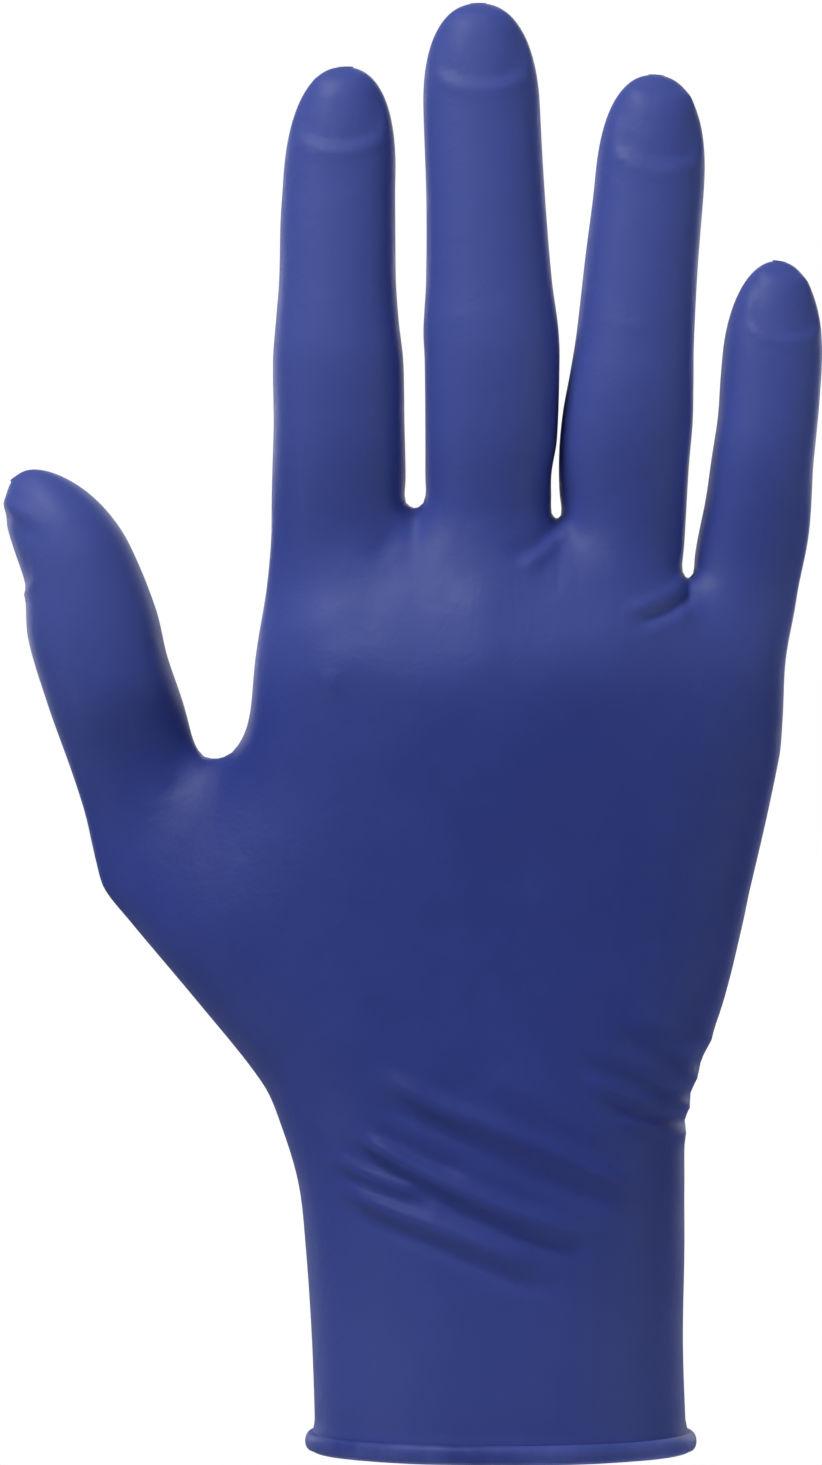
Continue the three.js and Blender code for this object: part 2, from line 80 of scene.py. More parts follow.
# How one ring parts into digits, as shares of the way up
parting = {
    "slant": 0.4,  # the rows lean with the folds at the wrist
    "slantOver": ((0.1, 0.85), (1.15, 1.75)),  # shares of the wrist's height
    "lift": 0.6,  # from here the rows rise to the thumb's foot
    "thumb": 0.68,  # from here the thumb parts from the palm
    "palmSide": 0.35,  # the fingers part later on the palm side
    "valley": 0.42,  # and the valleys between them later still
    "besideThumb": 3,  # the higher, the later a section parts beside its web
    "besideFinger": 4.5,
}

# Each digit: its own sizes, then sections from foot to tip as
# up, across, width, dorsal, palmar, bend, turn. Shares are of the digit's width, depth and bend.
digitSizes = {
    "thumb": {
        "width": 21.6, "depth": 22, "tip": 161.6, "shift": -22.3, "centreY": 5, "bend": 2, "gap": 4.6,
        "dome": 15, "domeSquare": 2, "leftFoot": 105.5, "rightFoot": 114.8,
        "rows": [
            (0, 0, 1.1, 0.5, 0.5, 0, 24),
            (0.142, 0, 1.01, 0.5, 0.5, 0, 20),
            (0.338, 0.03, 0.99, 0.49, 0.5, 0.1, 18),
            (0.523, 0.1, 1.01, 0.5, 0.5, 0.3, 13.5),
            (0.72, 0.18, 0.87, 0.49, 0.47, 0.6, 20),
            (0.868, 0.13, 0.85, 0.47, 0.44, 0.8, 30),
            (1, 0, 0.84, 0.45, 0.42, 1, 44),
        ],
    },
    "index": {
        "width": 22.2, "depth": 19.6, "tip": 229.4, "shift": 0.9, "centreY": 0.4, "bend": 4.5, "gap": 3,
        "dome": 19.4, "domeSquare": 2.3, "leftFoot": 152, "rightFoot": 156.8,
        "rows": [
            (0, 0, 1, 0.5, 0.5, 0, 8),
            (0.2, -0.01, 0.977, 0.49, 0.51, 0, 0),
            (0.35, -0.023, 0.973, 0.51, 0.48, 0.02, -1),
            (0.435, -0.032, 0.919, 0.48, 0.47, 0.08, -1),
            (0.525, -0.035, 0.874, 0.45, 0.48, 0.2, -1),
            (0.655, -0.038, 0.86, 0.42, 0.46, 0.42, -1),
            (0.75, -0.032, 0.84, 0.4, 0.47, 0.6, -1),
            (1, 0, 0.835, 0.38, 0.46, 1, -1),
        ],
    },
    "middle": {
        "width": 21.3, "depth": 20, "tip": 240, "shift": -1.7, "centreY": -0.4, "bend": 5.5, "gap": 1.2,
        "dome": 18, "domeSquare": 2.3, "leftFoot": 156.8, "rightFoot": 154.8,
        "rows": [
            (0, 0, 1, 0.5, 0.5, 0, -4),
            (0.07, 0.002, 0.981, 0.495, 0.505, 0, -1),
            (0.14, 0.03, 1.023, 0.49, 0.51, 0, 0),
            (0.295, 0.05, 1.05, 0.51, 0.49, 0.02, 1),
            (0.355, 0.045, 1.05, 0.5, 0.47, 0.05, 1),
            (0.45, 0.038, 0.981, 0.46, 0.48, 0.14, 1),
            (0.61, 0.027, 0.927, 0.43, 0.46, 0.36, 1),
            (0.77, 0.012, 0.912, 0.4, 0.47, 0.62, 1),
            (1, 0, 0.905, 0.38, 0.46, 1, 1),
        ],
    },
    "ring": {
        "width": 20.4, "depth": 19, "tip": 228.2, "shift": 6, "centreY": 0.4, "bend": 5.5, "gap": 1.4,
        "dome": 18.2, "domeSquare": 2.3, "leftFoot": 154.8, "rightFoot": 145.2,
        "rows": [
            (0, 0, 1, 0.5, 0.5, 0, -20),
            (0.18, -0.034, 1.058, 0.49, 0.51, 0, -8),
            (0.27, -0.03, 1.058, 0.5, 0.49, 0.02, -5),
            (0.35, -0.022, 1.01, 0.5, 0.48, 0.06, -4.5),
            (0.435, -0.018, 0.96, 0.47, 0.48, 0.14, -4.5),
            (0.6, -0.012, 0.92, 0.43, 0.46, 0.36, -4.5),
            (0.77, 0.006, 0.892, 0.4, 0.47, 0.62, -4.5),
            (1, 0, 0.885, 0.38, 0.46, 1, -4.5),
        ],
    },
    "little": {
        "width": 18.4, "depth": 16.8, "tip": 197.2, "shift": 5.7, "centreY": 1.8, "bend": 4, "gap": 0,
        "dome": 17.1, "domeSquare": 2.1, "leftFoot": 145.2, "rightFoot": 142,
        "rows": [
            (0, 0, 1, 0.5, 0.5, 0, -10),
            (0.13, 0.019, 1.01, 0.49, 0.51, 0, -7),
            (0.25, 0.03, 0.962, 0.5, 0.5, 0.02, -6),
            (0.38, 0.027, 0.92, 0.48, 0.49, 0.1, -6),
            (0.5, 0.035, 0.902, 0.45, 0.47, 0.25, -6),
            (0.62, 0.027, 0.908, 0.43, 0.47, 0.42, -6),
            (1, 0, 0.885, 0.39, 0.46, 1, -6),
        ],
    },
}
digitNames = list(digitSizes)
fingerNames = digitNames[1:]
palmWidth = sum(digitSizes[name]["width"] + digitSizes[name]["gap"] for name in fingerNames)
palmLength = handSizes["indexWeb"] - handSizes["wristHeight"]

# Outline rows. The sleeve: up, left, right, dorsal, palmar, square as shares of the cuff's sizes.
# The palm with the thumb: the same as shares of the palm's sizes. The palm without it: the same again,
# and then the thumb's right side.
sleeveRows = [
    (-0.1, -0.5, 0.498, 0.5, 0.5, 2.1),
    (0, -0.503, 0.5, 0.5, 0.5, 2.1),
    (0.33, -0.513, 0.491, 0.5, 0.49, 2.1),
    (0.62, -0.53, 0.495, 0.48, 0.475, 2.15),
    (0.82, -0.55, 0.495, 0.465, 0.465, 2.2),
]
palmRows = [
    (0, -0.416, 0.347, 0.67, 0.69, 2.25),
    (0.067, -0.451, 0.364, 0.65, 0.7, 2.3),
    (0.196, -0.571, 0.417, 0.61, 0.72, 2.4),
    (0.325, -0.7, 0.455, 0.57, 0.7, 2.5),
    (0.375, -0.75, 0.467, 0.56, 0.69, 2.5),
    (0.4, -0.762, 0.474, 0.55, 0.68, 2.5),
    (0.5, -0.79, 0.502, 0.54, 0.64, 2.5),
    (0.59, -0.81, 0.523, 0.53, 0.6, 2.5),
]
knuckleRows = [
    (0, -0.36, 0.347, 0.66, 0.69, 2, -0.38),
    (0.2, -0.45, 0.417, 0.62, 0.72, 2, -0.47),
    (0.4, -0.49, 0.474, 0.57, 0.69, 2, -0.52),
    (0.59, -0.492, 0.523, 0.53, 0.61, 2.05, -0.54),
    (0.65, -0.477, 0.53, 0.52, 0.57, 2.15, -0.54),
    (0.75, -0.464, 0.537, 0.52, 0.52, 2.3, -0.54),
    (0.86, -0.445, 0.561, 0.5, 0.48, 2.4, -0.54),
    (1, -0.432, 0.572, 0.46, 0.46, 2.4, -0.54),
]


def mix(start, end, share):
    return start + (end - start) * share


def ease(start, end, value):
    share = np.clip((value - start) / (end - start), 0, 1)
    return share * share * (3 - 2 * share)


def between(starts, stops, value):
    # rises from 0 to 1 over the first pair of values and falls back over the second
    return ease(*starts, value) * (1 - ease(*stops, value))


def readRows(rows, place, up):
    # one column of a table, on a smooth curve through its rows
    table = np.asarray(rows, float)
    ups, values = table[:, 0], table[:, place]
    slopes = np.empty(len(ups))
    slopes[0] = (values[1] - values[0]) / (ups[1] - ups[0])
    slopes[-1] = (values[-1] - values[-2]) / (ups[-1] - ups[-2])
    slopes[1:-1] = (values[2:] - values[:-2]) / (ups[2:] - ups[:-2])
    up = np.asarray(up, float)
    i = np.clip(np.searchsorted(ups, up, side="right") - 1, 0, len(ups) - 2)
    span = ups[i + 1] - ups[i]
    t = np.clip((up - ups[i]) / span, 0, 1)
    start = values[i] * (1 + 2 * t) * (1 - t) ** 2 + slopes[i] * span * t * (1 - t) ** 2
    end = values[i + 1] * (3 - 2 * t) * t ** 2 - slopes[i + 1] * span * (1 - t) * t ** 2
    return start + end


def inMillimetres(rows, start, length, width, depth):
    units = (length, width, width, depth, depth, 1, width)
    table = np.array(rows, float) * units[:len(rows[0])]
    table[:, 0] += start
    return table


palmScale = (handSizes["wristHeight"], palmLength, palmWidth, handSizes["palmDepth"])
handTable = np.vstack([
    inMillimetres(sleeveRows, 0, handSizes["wristHeight"], handSizes["cuffWidth"], handSizes["cuffDepth"]),
    inMillimetres(palmRows, *palmScale)])
knuckleTable = inMillimetres(knuckleRows, *palmScale)

# Where each digit's foot begins across the palm
digitLeft = {"index": knuckleRows[-1][1] * palmWidth, "thumb": palmRows[6][1] * palmWidth}
for before, after in zip(fingerNames, fingerNames[1:]):
    digitLeft[after] = digitLeft[before] + digitSizes[before]["width"] + digitSizes[before]["gap"]
thumbFootWidth = -digitLeft["thumb"] - digitSizes["thumb"]["gap"] + knuckleRows[3][1] * palmWidth


def roundedSection(left, right, dorsal, palmar, square, centreY, angle, side):
    power = 2 / square
    cosine = np.cos(angle)
    across = -np.sign(cosine) * np.abs(cosine) ** power
    out = np.abs(np.sin(angle)) ** power
    depth = -dorsal if side == "back" else palmar
    return mix(left, right, (across + 1) / 2), centreY + depth * out


def handSection(rows, height, angle, side):
    left, right, dorsal, palmar, square = (readRows(rows, place, height) for place in range(1, 6))
    return roundedSection(left, right, dorsal, palmar, square, 0, angle, side)


# A strand of the net is a digit's six columns and a seventh up to the next digit
digitSpan, strandSpan = 6, 7
handSpan, palmSpan = 5 * strandSpan - 1, 4 * strandSpan - 1


def digitAngle(column):
    return np.pi * np.clip(column, 0, digitSpan) / digitSpan


def footHeight(name, column):
    sizes = digitSizes[name]
    share = (1 - np.cos(digitAngle(column))) / 2
    return mix(sizes["leftFoot"], sizes["rightFoot"], share)


def footSection(name, height, angle, side):
    # a digit's own section where it is still part of the palm: x, y and the height of its ridge
    sizes = digitSizes[name]
    left = np.full_like(height, digitLeft[name])
    right = left + sizes["width"]
    if name == "thumb":
        left = readRows(handTable, 1, height)
        right = readRows(knuckleTable, 6, height)
    if name == "index":
        left = readRows(knuckleTable, 1, height)
    if name == "little":
        right = readRows(knuckleTable, 2, height)
    first = sizes["rows"][0]
    dorsal, palmar = first[3] * sizes["depth"], first[4] * sizes["depth"]
    x, y = roundedSection(
        left, right, dorsal, palmar, handSizes["digitSquare"], sizes["centreY"], angle, side)
    ridge = sizes["centreY"] + (-dorsal if side == "back" else palmar)
    return x, y, np.full_like(x, ridge)


def partFrom(wholeX, wholeY, ownX, ownY, share, besideWeb):
    # one section on its way into another; beside a web it goes over late
    even = ease(0, 1, share)
    late = share ** parting["besideThumb"]
    return mix(wholeX, ownX, even), mix(wholeY, ownY, mix(even, late, besideWeb))


def lowerStrand(strand, column, side, level):
    # below the thumb's web: one ring goes over to a thumb beside a palm
    web, wrist = handSizes["thumbWeb"], handSizes["wristHeight"]
    turned = np.pi * (strandSpan * strand + column) / handSpan
    top = footHeight("thumb", column) if strand == 0 else np.full_like(column, web)
    lift = (top - web) * ease(parting["lift"] * web, web, level)
    slant = between(*np.multiply(parting["slantOver"], wrist), level)
    height = level + lift + parting["slant"] * slant * np.cos(turned) * handSizes["cuffWidth"] / 2
    wholeX, wholeY = handSection(handTable, height, turned, side)
    start = parting["thumb"] * web
    share = np.clip((height - start) / (top - start), 0, 1)
    if strand == 0:
        own = digitAngle(column)
        ownX, ownY, _ = footSection("thumb", height, own, side)
        strip = np.clip(column - digitSpan, 0, 1)
        edgeX, edgeY = handSection(knuckleTable, height, np.zeros_like(column), side)
        ownX, ownY = mix(ownX, edgeX, strip), mix(ownY, edgeY, strip)
        beside = ease(np.pi / 2, np.pi, own)
    else:
        palmRound = np.pi * (strandSpan * (strand - 1) + column) / palmSpan
        ownX, ownY = handSection(knuckleTable, height, palmRound, side)
        isIndex = digitNames[strand] == "index"
        beside = 1 - ease(0, 1, column / digitSpan) if isIndex else np.zeros_like(column)
    x, y = partFrom(wholeX, wholeY, ownX, ownY, share, beside)
    return np.stack([x, y, height], axis=-1)


def upperStrand(strand, column, side, level):
    # between the thumb's web and the fingers' webs: the palm goes over to four fingers
    web = handSizes["thumbWeb"]
    name = digitNames[strand]
    top = footHeight(name, column)
    height = mix(web, top, level)
    palmRound = np.pi * (strandSpan * (strand - 1) + column) / palmSpan
    wholeX, wholeY = handSection(knuckleTable, height, palmRound, side)
    own = digitAngle(column)
    ownX, ownY, ridge = footSection(name, height, own, side)
    strip = np.clip(column - digitSpan, 0, 1)
    if name != "little":
        nextX, nextY, nextRidge = footSection(digitNames[strand + 1], height, np.zeros_like(own), side)
        ownX, ownY = mix(ownX, nextX, strip), mix(ownY, nextY, strip)
        ridge = mix(ridge, nextRidge, strip)
    start = mix(web, top, 0 if side == "back" else parting["palmSide"])
    free = ((name == "index") & (own < np.pi / 2)) | ((name == "little") & (own > np.pi / 2))
    beside = np.where(free, 0, np.cos(own) ** 2)
    share = np.clip((height - start) / (top - start), 0, 1)
    even = ease(0, 1, share)
    late = mix(ease(parting["valley"], 1, share), share ** parting["besideFinger"], beside)
    valley = np.where(free, mix(late, even, np.cos(own) ** 2), late)
    y = mix(wholeY, ridge, even) + (ownY - ridge) * valley
    return np.stack([mix(wholeX, ownX, even), y, height], axis=-1)


def digitSection(name, column, side, up, close):
    # a free digit follows its middle line and closes in its dome
    sizes = digitSizes[name]
    rows = sizes["rows"]
    footX = digitLeft[name] + (thumbFootWidth if name == "thumb" else sizes["width"]) / 2
    height = mix((sizes["leftFoot"] + sizes["rightFoot"]) / 2, sizes["tip"], up)
    half = readRows(rows, 2, up) * sizes["width"] * close / 2
    x, y = roundedSection(
        -half, half, readRows(rows, 3, up) * sizes["depth"] * close,
        readRows(rows, 4, up) * sizes["depth"] * close, handSizes["digitSquare"],
        sizes["centreY"] + readRows(rows, 5, up) * sizes["bend"], digitAngle(column), side)
    turn = np.radians(readRows(rows, 6, up))
    middle = footX + sizes["shift"] * up + readRows(rows, 1, up) * sizes["width"]
    return np.stack([middle + x * np.cos(turn), y, height + x * np.sin(turn)], axis=-1)


# The net: rows of corner numbers for the back and the palm side, kept by part of the glove
class Net:
    def __init__(self):
        self.points, self.digit, self.parts = [], [], {}
        self.count = 0

    def add(self, places, digit):
        numbers = np.arange(self.count, self.count + len(places))
        self.points.append(places)
        self.digit.append(digit)
        self.count += len(places)
        return numbers

    def ring(self, part, back, palm, shared, digit):
        backRow = self.add(back, digit)
        palmRow = backRow.copy()
        palmRow[~shared] = self.add(palm[~shared], digit[~shared])
        sides = self.parts.setdefault(part, {"back": [], "palm": []})
        sides["back"].append(backRow)
        sides["palm"].append(palmRow)


def strandColumns(strands):
    # strand number and column of every place along one side of a ring
    steps = netSizes["columnSteps"]
    numbers, columns = [], []
    for strand in strands:
        last = strand == strands[-1]
        column = np.arange(digitSpan * steps + 1 if last else strandSpan * steps) / steps
        numbers.append(np.full(len(column), strand))
        columns.append(column)
    return np.concatenate(numbers), np.concatenate(columns)


def addRings(net, part, strands, place, levels, webs):
    # rings of one part; in the last one the two sides meet at the webs to the right of some strands
    numbers, columns = strandColumns(strands)
    for level in levels:
        back, palm = (
            np.concatenate([place(strand, columns[numbers == strand], side, level) for strand in strands])
            for side in ("back", "palm"))
        shared = np.zeros(len(numbers), bool)
        shared[[0, -1]] = True
        if level == levels[-1]:
            shared |= np.isin(numbers, webs) & (columns >= digitSpan)
            shared |= np.isin(numbers - 1, webs) & (columns == 0)
        net.ring(part, back, palm, shared, numbers)


def addDigit(net, number, foot, points):
    # a free digit, from the row where it leaves the palm to the pole of its dome
    name = digitNames[number]
    sizes = digitSizes[name]
    length = sizes["tip"] - (sizes["leftFoot"] + sizes["rightFoot"]) / 2
    domeStart = 1 - sizes["dome"] / length
    column = np.arange(len(foot["back"])) / netSizes["columnSteps"]
    net.parts[name] = {side: [row] for side, row in foot.items()}
    offset = {
        side: points[row] - digitSection(name, column, side, np.zeros_like(column), 1.0)
        for side, row in foot.items()}
    shaftRows = int(round(domeStart * length / netSizes["rowStep"] / 2)) * 2
    ups = [(domeStart * row / shaftRows, 1.0) for row in range(1, shaftRows + 1)]
    power = 2 / sizes["domeSquare"]
    for row in range(1, netSizes["domeRows"]):
        lean = math.radians(90 * row / netSizes["domeRows"])
        ups.append((mix(domeStart, 1, math.sin(lean) ** power), math.cos(lean) ** power))
    shared = np.zeros(len(column), bool)
    shared[[0, -1]] = True
    for up, close in ups:
        along = np.full_like(column, up)
        fade = 1 - float(ease(0, netSizes["footFade"], up))
        back, palm = (
            digitSection(name, column, side, along, close) + offset[side] * fade for side in ("back", "palm"))
        net.ring(name, back, palm, shared, np.full(len(column), number))
    pole = digitSection(name, np.zeros(1), "back", np.ones(1), 0.0)
    net.parts[name]["pole"] = int(net.add(pole, np.array([number]))[0])


def buildNet():
    net = Net()
    web, start = handSizes["thumbWeb"], netSizes["filmStart"]
    rows = int(round((web - start) / netSizes["rowStep"] / 2)) * 2
    levels = [mix(start, web, row / rows) for row in range(rows + 1)]
    addRings(net, "hand", [0, 1, 2, 3, 4], lowerStrand, levels, [0])

    first = strandSpan * netSizes["columnSteps"]
    net.parts["palm"] = {side: [net.parts["hand"][side][-1][first:]] for side in ("back", "palm")}
    rows = int(round((handSizes["indexWeb"] - web) / netSizes["rowStep"] / 2)) * 2
    levels = [row / rows for row in range(1, rows + 1)]
    addRings(net, "palm", [1, 2, 3, 4], upperStrand, levels, [1, 2, 3])

    points = np.concatenate(net.points)
    footColumns = digitSpan * netSizes["columnSteps"] + 1
    for number, name in enumerate(digitNames):
        below = net.parts["hand" if name == "thumb" else "palm"]
        left = first * max(number - 1, 0)
        foot = {side: below[side][-1][left:left + footColumns] for side in ("back", "palm")}
        addDigit(net, number, foot, points)
    return net


def netFaces(net, rowStep, columnStep):
    # four-sided faces over the whole net, and the fans at the tips
    faces, fans = [], []
    for part, sides in net.parts.items():
        for side in ("back", "palm"):
            rows = sides[side][::rowStep]
            if (len(sides[side]) - 1) % rowStep:
                rows = rows + [sides[side][-1]]
            for low, high in zip(rows, rows[1:]):
                a, b = low[::columnStep], high[::columnStep]
                if side == "back":
                    faces.append(np.stack([a[:-1], a[1:], b[1:], b[:-1]], axis=1))
                else:
                    faces.append(np.stack([a[1:], a[:-1], b[:-1], b[1:]], axis=1))
            if "pole" in sides:
                top = rows[-1][::columnStep]
                pole = np.full(len(top) - 1, sides["pole"])
                pair = (top[:-1], top[1:]) if side == "back" else (top[1:], top[:-1])
                fans.append(np.stack([pair[0], pair[1], pole], axis=1))
    return np.concatenate(faces), np.concatenate(fans)


def cornerNormals(points, quads, fans):
    normals = np.zeros_like(points)
    for faces, ring in ((quads, (0, 1, 2, 3)), (fans, (0, 1, 2))):
        corner = points[faces]
        if len(ring) == 4:
            face = np.cross(corner[:, 2] - corner[:, 0], corner[:, 3] - corner[:, 1])
        else:
            face = np.cross(corner[:, 1] - corner[:, 0], corner[:, 2] - corner[:, 0])
        for k in ring:
            for axis in range(3):
                normals[:, axis] += np.bincount(faces[:, k], face[:, axis], len(points))
    return normals / (np.linalg.norm(normals, axis=1)[:, None] + 1e-12)


def neighbours(quads, count):
    pairs = np.concatenate([quads[:, [0, 1]], quads[:, [1, 2]], quads[:, [2, 3]], quads[:, [3, 0]]])
    pairs = np.unique(np.sort(pairs, axis=1), axis=0)
    ends = np.concatenate([pairs[:, 0], pairs[:, 1]])
    others = np.concatenate([pairs[:, 1], pairs[:, 0]])
    return ends, others, np.maximum(np.bincount(ends, minlength=count), 1)


def relax(points, links, weight, rounds, axes=(0, 1, 2), springBack=0.0):
    # evens the net out where weight is above 0; springBack keeps it from shrinking
    ends, others, count = links
    points = points.copy()
    for _ in range(rounds):
        for strength in ((0.5, -springBack) if springBack else (0.5,)):
            for axis in axes:
                mean = np.bincount(ends, points[others, axis], len(points)) / count
                points[:, axis] += (mean - points[:, axis]) * weight * strength
    return points


net = buildNet()
skin = np.concatenate(net.points)
skinDigit = np.concatenate(net.digit)
skinQuads, skinFans = netFaces(net, 1, 1)
skinLinks = neighbours(skinQuads, len(skin))
print("net:", len(skin), "corners,", len(skinQuads), "quads")

# The film is drawn tight between the digits. Places, reaches and heights are millimetres.
tightSizes = {
    "held": 2.6,  # the net stays near the outline and the webs
    "thumbMiddle": (-47, 101),
    "thumbReach": (21, 19),
    "thumbRounds": (300, 260),  # in depth alone, then all ways
    "fingersOver": ((112, 124), (140, 170)),
    "fingersLeft": (-46, -38),
    "fingersRounds": (120, 120),
}
webSizes = {
    "thumb": {"reach": 7.5, "rounds": 90, "lift": 2.1, "liftReach": 10, "dip": 0},
    "index": {"reach": 3.0, "rounds": 12, "lift": 1.2, "liftReach": 5, "dip": 1.5},
    "middle": {"reach": 1.7, "rounds": 10, "lift": 0.8, "liftReach": 5, "dip": 0.6},
    "ring": {"reach": 2.0, "rounds": 8, "lift": 0.4, "liftReach": 5, "dip": 0.9},
}
dipSizes = {
    "halfWidth": 0.62,  # share of the gap between two digits
    "above": 0.6,
    "reach": 6,
}
smoothSizes = {
    "fingerRoots": (152, 14),
    "leftOfRoots": -45,
    "thumbRoot": (104, 22),
    "rounds": 40,
    "lastRounds": 3,
    "springBack": 0.52,
    "tipReach": 3.2,
    "tipRounds": 40,
    "tipSpare": 0.25,
    "tipLength": 26,
}


def bell(distance, reach):
    return np.exp(-(distance / reach) ** 2)


def edgeDistance(points):
    # how far each corner is from the outline and the webs, where both sides meet
    edges = []
    for sides in net.parts.values():
        for back, palm in zip(sides["back"], sides["palm"]):
            edges.append(back[back == palm])
    edges = np.unique(np.concatenate(edges))
    tree = KDTree(len(edges))
    for i, number in enumerate(edges):
        tree.insert(points[number], i)
    tree.balance()
    return np.array([tree.find(point)[2] for point in points])


def drawTight(points, sizes):
    x, z = points[:, 0], points[:, 2]
    free = 1 - bell(edgeDistance(points), sizes["held"])
    middle, reach = sizes["thumbMiddle"], sizes["thumbReach"]
    thumb = np.exp(-((x - middle[0]) / reach[0]) ** 4 - ((z - middle[1]) / reach[1]) ** 4)
    fingers = between(*sizes["fingersOver"], z) * ease(*sizes["fingersLeft"], x)
    for place, rounds in ((thumb, sizes["thumbRounds"]), (fingers, sizes["fingersRounds"])):
        points = relax(points, skinLinks, free * place, rounds[0], axes=(1,))
        points = relax(points, skinLinks, free * place, rounds[1])
    return points


def webCentre(points, name):
    row = net.parts["hand" if name == "thumb" else "palm"]["back"][-1]
    first = max(digitNames.index(name) - 1, 0)
    place = first * strandSpan * netSizes["columnSteps"] + int((digitSpan + 0.5) * netSizes["columnSteps"])
    return points[row[place]].copy()


def workWeb(points, name, sizes):
    # the web dips in the middle of its gap, then it is rounded and lifted
    centre = webCentre(points, name)
    away = (points[:, 0] - centre[0]) / (dipSizes["halfWidth"] * digitSizes[name]["gap"])
    under = np.clip(centre[2] - points[:, 2], 0, None)
    below = points[:, 2] < centre[2] + dipSizes["above"]
    points[:, 2] -= sizes["dip"] * np.clip(1 - away ** 2, 0, 1) * np.exp(-under / dipSizes["reach"]) * below
    distance = np.linalg.norm(points - webCentre(points, name), axis=1)
    points = relax(points, skinLinks, bell(distance, sizes["reach"]), sizes["rounds"])
    points[:, 2] += sizes["lift"] * bell(distance, sizes["liftReach"])
    return points


def roundTip(points, number, sizes):
    # the relaxing draws a finger's tip in a little, so it goes back to its height
    name = digitNames[number]
    distance = np.linalg.norm(points - points[net.parts[name]["pole"]], axis=1)
    points = relax(points, skinLinks, bell(distance, sizes["tipReach"]), sizes["tipRounds"])
    if name != "thumb":
        tip, own = digitSizes[name]["tip"], skinDigit == number
        short = tip + sizes["tipSpare"] - points[own, 2].max()
        points[own, 2] += short * ease(tip - sizes["tipLength"], tip, points[own, 2])
    return points


def rootBands(points, sizes):
    # how much of each corner is where the digits leave the palm
    up = points[:, 2]
    (fingers, fingersReach), (thumb, thumbReach) = sizes["fingerRoots"], sizes["thumbRoot"]
    pastThumb = points[:, 0] > sizes["leftOfRoots"]
    return np.maximum(bell(up - fingers, fingersReach) * pastThumb, bell(up - thumb, thumbReach))


roots, everywhere = rootBands(skin, smoothSizes), np.ones(len(skin))
skin = drawTight(skin, tightSizes)
for name, sizes in webSizes.items():
    skin = workWeb(skin, name, sizes)
for weight, rounds in ((roots, smoothSizes["rounds"]), (everywhere, smoothSizes["lastRounds"])):
    skin = relax(skin, skinLinks, weight, rounds, springBack=smoothSizes["springBack"])
for number in range(len(digitNames)):
    skin = roundTip(skin, number, smoothSizes)
print("webs rounded")

# Low forms and folds. A row has the rise, half the width, the share of the line over which each end
# fades out, and a line through points (across, up), in millimetres. Edge folds run on round the sides.
backForms = [
    (1.2, 6.2, 0, [(-30, 134.5), (-28.8, 131.5)]),
    (0.45, 4.5, 0, [(-3.4, 139), (-3.6, 131)]),
    (0.4, 5.0, 0, [(19, 134), (19.4, 128)]),
]
backFolds = [
    (0.45, 2.2, 0.25, [(-3, 63.8), (2.9, 60.4), (10.7, 56.2), (19.5, 51.2)]),
    (1.25, 1.6, 0.16, [(-21, 64.2), (-15.5, 60.6), (-10.5, 57.8), (-2.7, 55), (5.1, 51.8), (12.5, 48.4),
                       (23, 43)]),
    (-0.7, 1.6, 0.2, [(-22, 60), (-12.7, 55.6), (-6, 52.4), (0.6, 48.9), (7.2, 45.8), (20.5, 41.2)]),
    (1.35, 1.45, 0.16, [(-25, 54.2), (-19.5, 51), (-15, 48.2), (-10.5, 46), (-3.9, 43.2), (2.9, 40.4),
                        (14, 36.6)]),
    (-0.6, 1.3, 0.25, [(-22, 54.6), (-16.7, 52), (-11.8, 49.4), (-5, 47)]),
    (-0.75, 1.4, 0.2, [(-27.4, 52.6), (-22.1, 49.4), (-17.7, 47.1), (-13.8, 45.4), (-8.4, 41.9),
                       (-2.7, 39.1), (3.9, 36.5), (14.5, 33.8)]),
    (0.8, 1.2, 0.25, [(-29, 50.6), (-24, 47.6), (-19.5, 45.9), (-11.7, 43.8)]),
    (-0.45, 1.2, 0.25, [(-28.6, 48.2), (-23.3, 45.2), (-17.8, 43.2), (-10.7, 41.6)]),
    (1.2, 1.5, 0.18, [(-27.4, 45.6), (-22.1, 42.8), (-16.7, 40.4), (-10.5, 38.2), (-4.9, 36.2), (0.6, 33.9),
                      (6, 31.6)]),
    (-0.65, 1.6, 0.22, [(-28.4, 42.8), (-22.8, 40.1), (-17.2, 37.8), (-10.5, 35.4), (-3.9, 32.4),
                        (0.6, 30.5), (5.1, 28.9), (12, 27.4)]),
    (-0.3, 1.8, 0.3, [(-17.2, 151.8), (-19.8, 149.4), (-21.8, 146)]),
    (0.65, 1.2, 0.25, [(11.4, 154.2), (9.6, 151.2), (6.2, 147.8), (2.4, 145.4)]),
    (-0.45, 1.4, 0.25, [(9.4, 153.4), (6.2, 150.4), (3, 148.8), (0, 149)]),
    (0.6, 1.25, 0.25, [(32.6, 145.6), (29.8, 143), (25.6, 140.4), (19.8, 138.2)]),
    (-0.7, 1.25, 0.25, [(33, 144.4), (30.1, 141.2), (26.6, 138.6), (20.3, 136.6)]),
    (0.32, 1.4, 0.3, [(32.4, 140), (28.3, 137), (21.8, 133.8)]),
    (-0.2, 2.0, 0.3, [(-51.5, 115.8), (-53.3, 114), (-54.3, 110), (-55, 107)]),
    (0.5, 2.1, 0.3, [(-29.5, 126.2), (-26.5, 127.8)]),
    (-0.1, 1.0, 0.3, [(-3, 220.5), (0, 220)]),
    (0.12, 1.0, 0.3, [(-12, 186.8), (-7.4, 187.1), (-3.5, 188)]),
    (0.14, 1.0, 0.3, [(18, 185.6), (21.1, 185.8), (24.5, 185.2)]),
    (-0.12, 1.2, 0.3, [(-5.5, 175.8), (-1, 174.4), (3, 173.8)]),
]
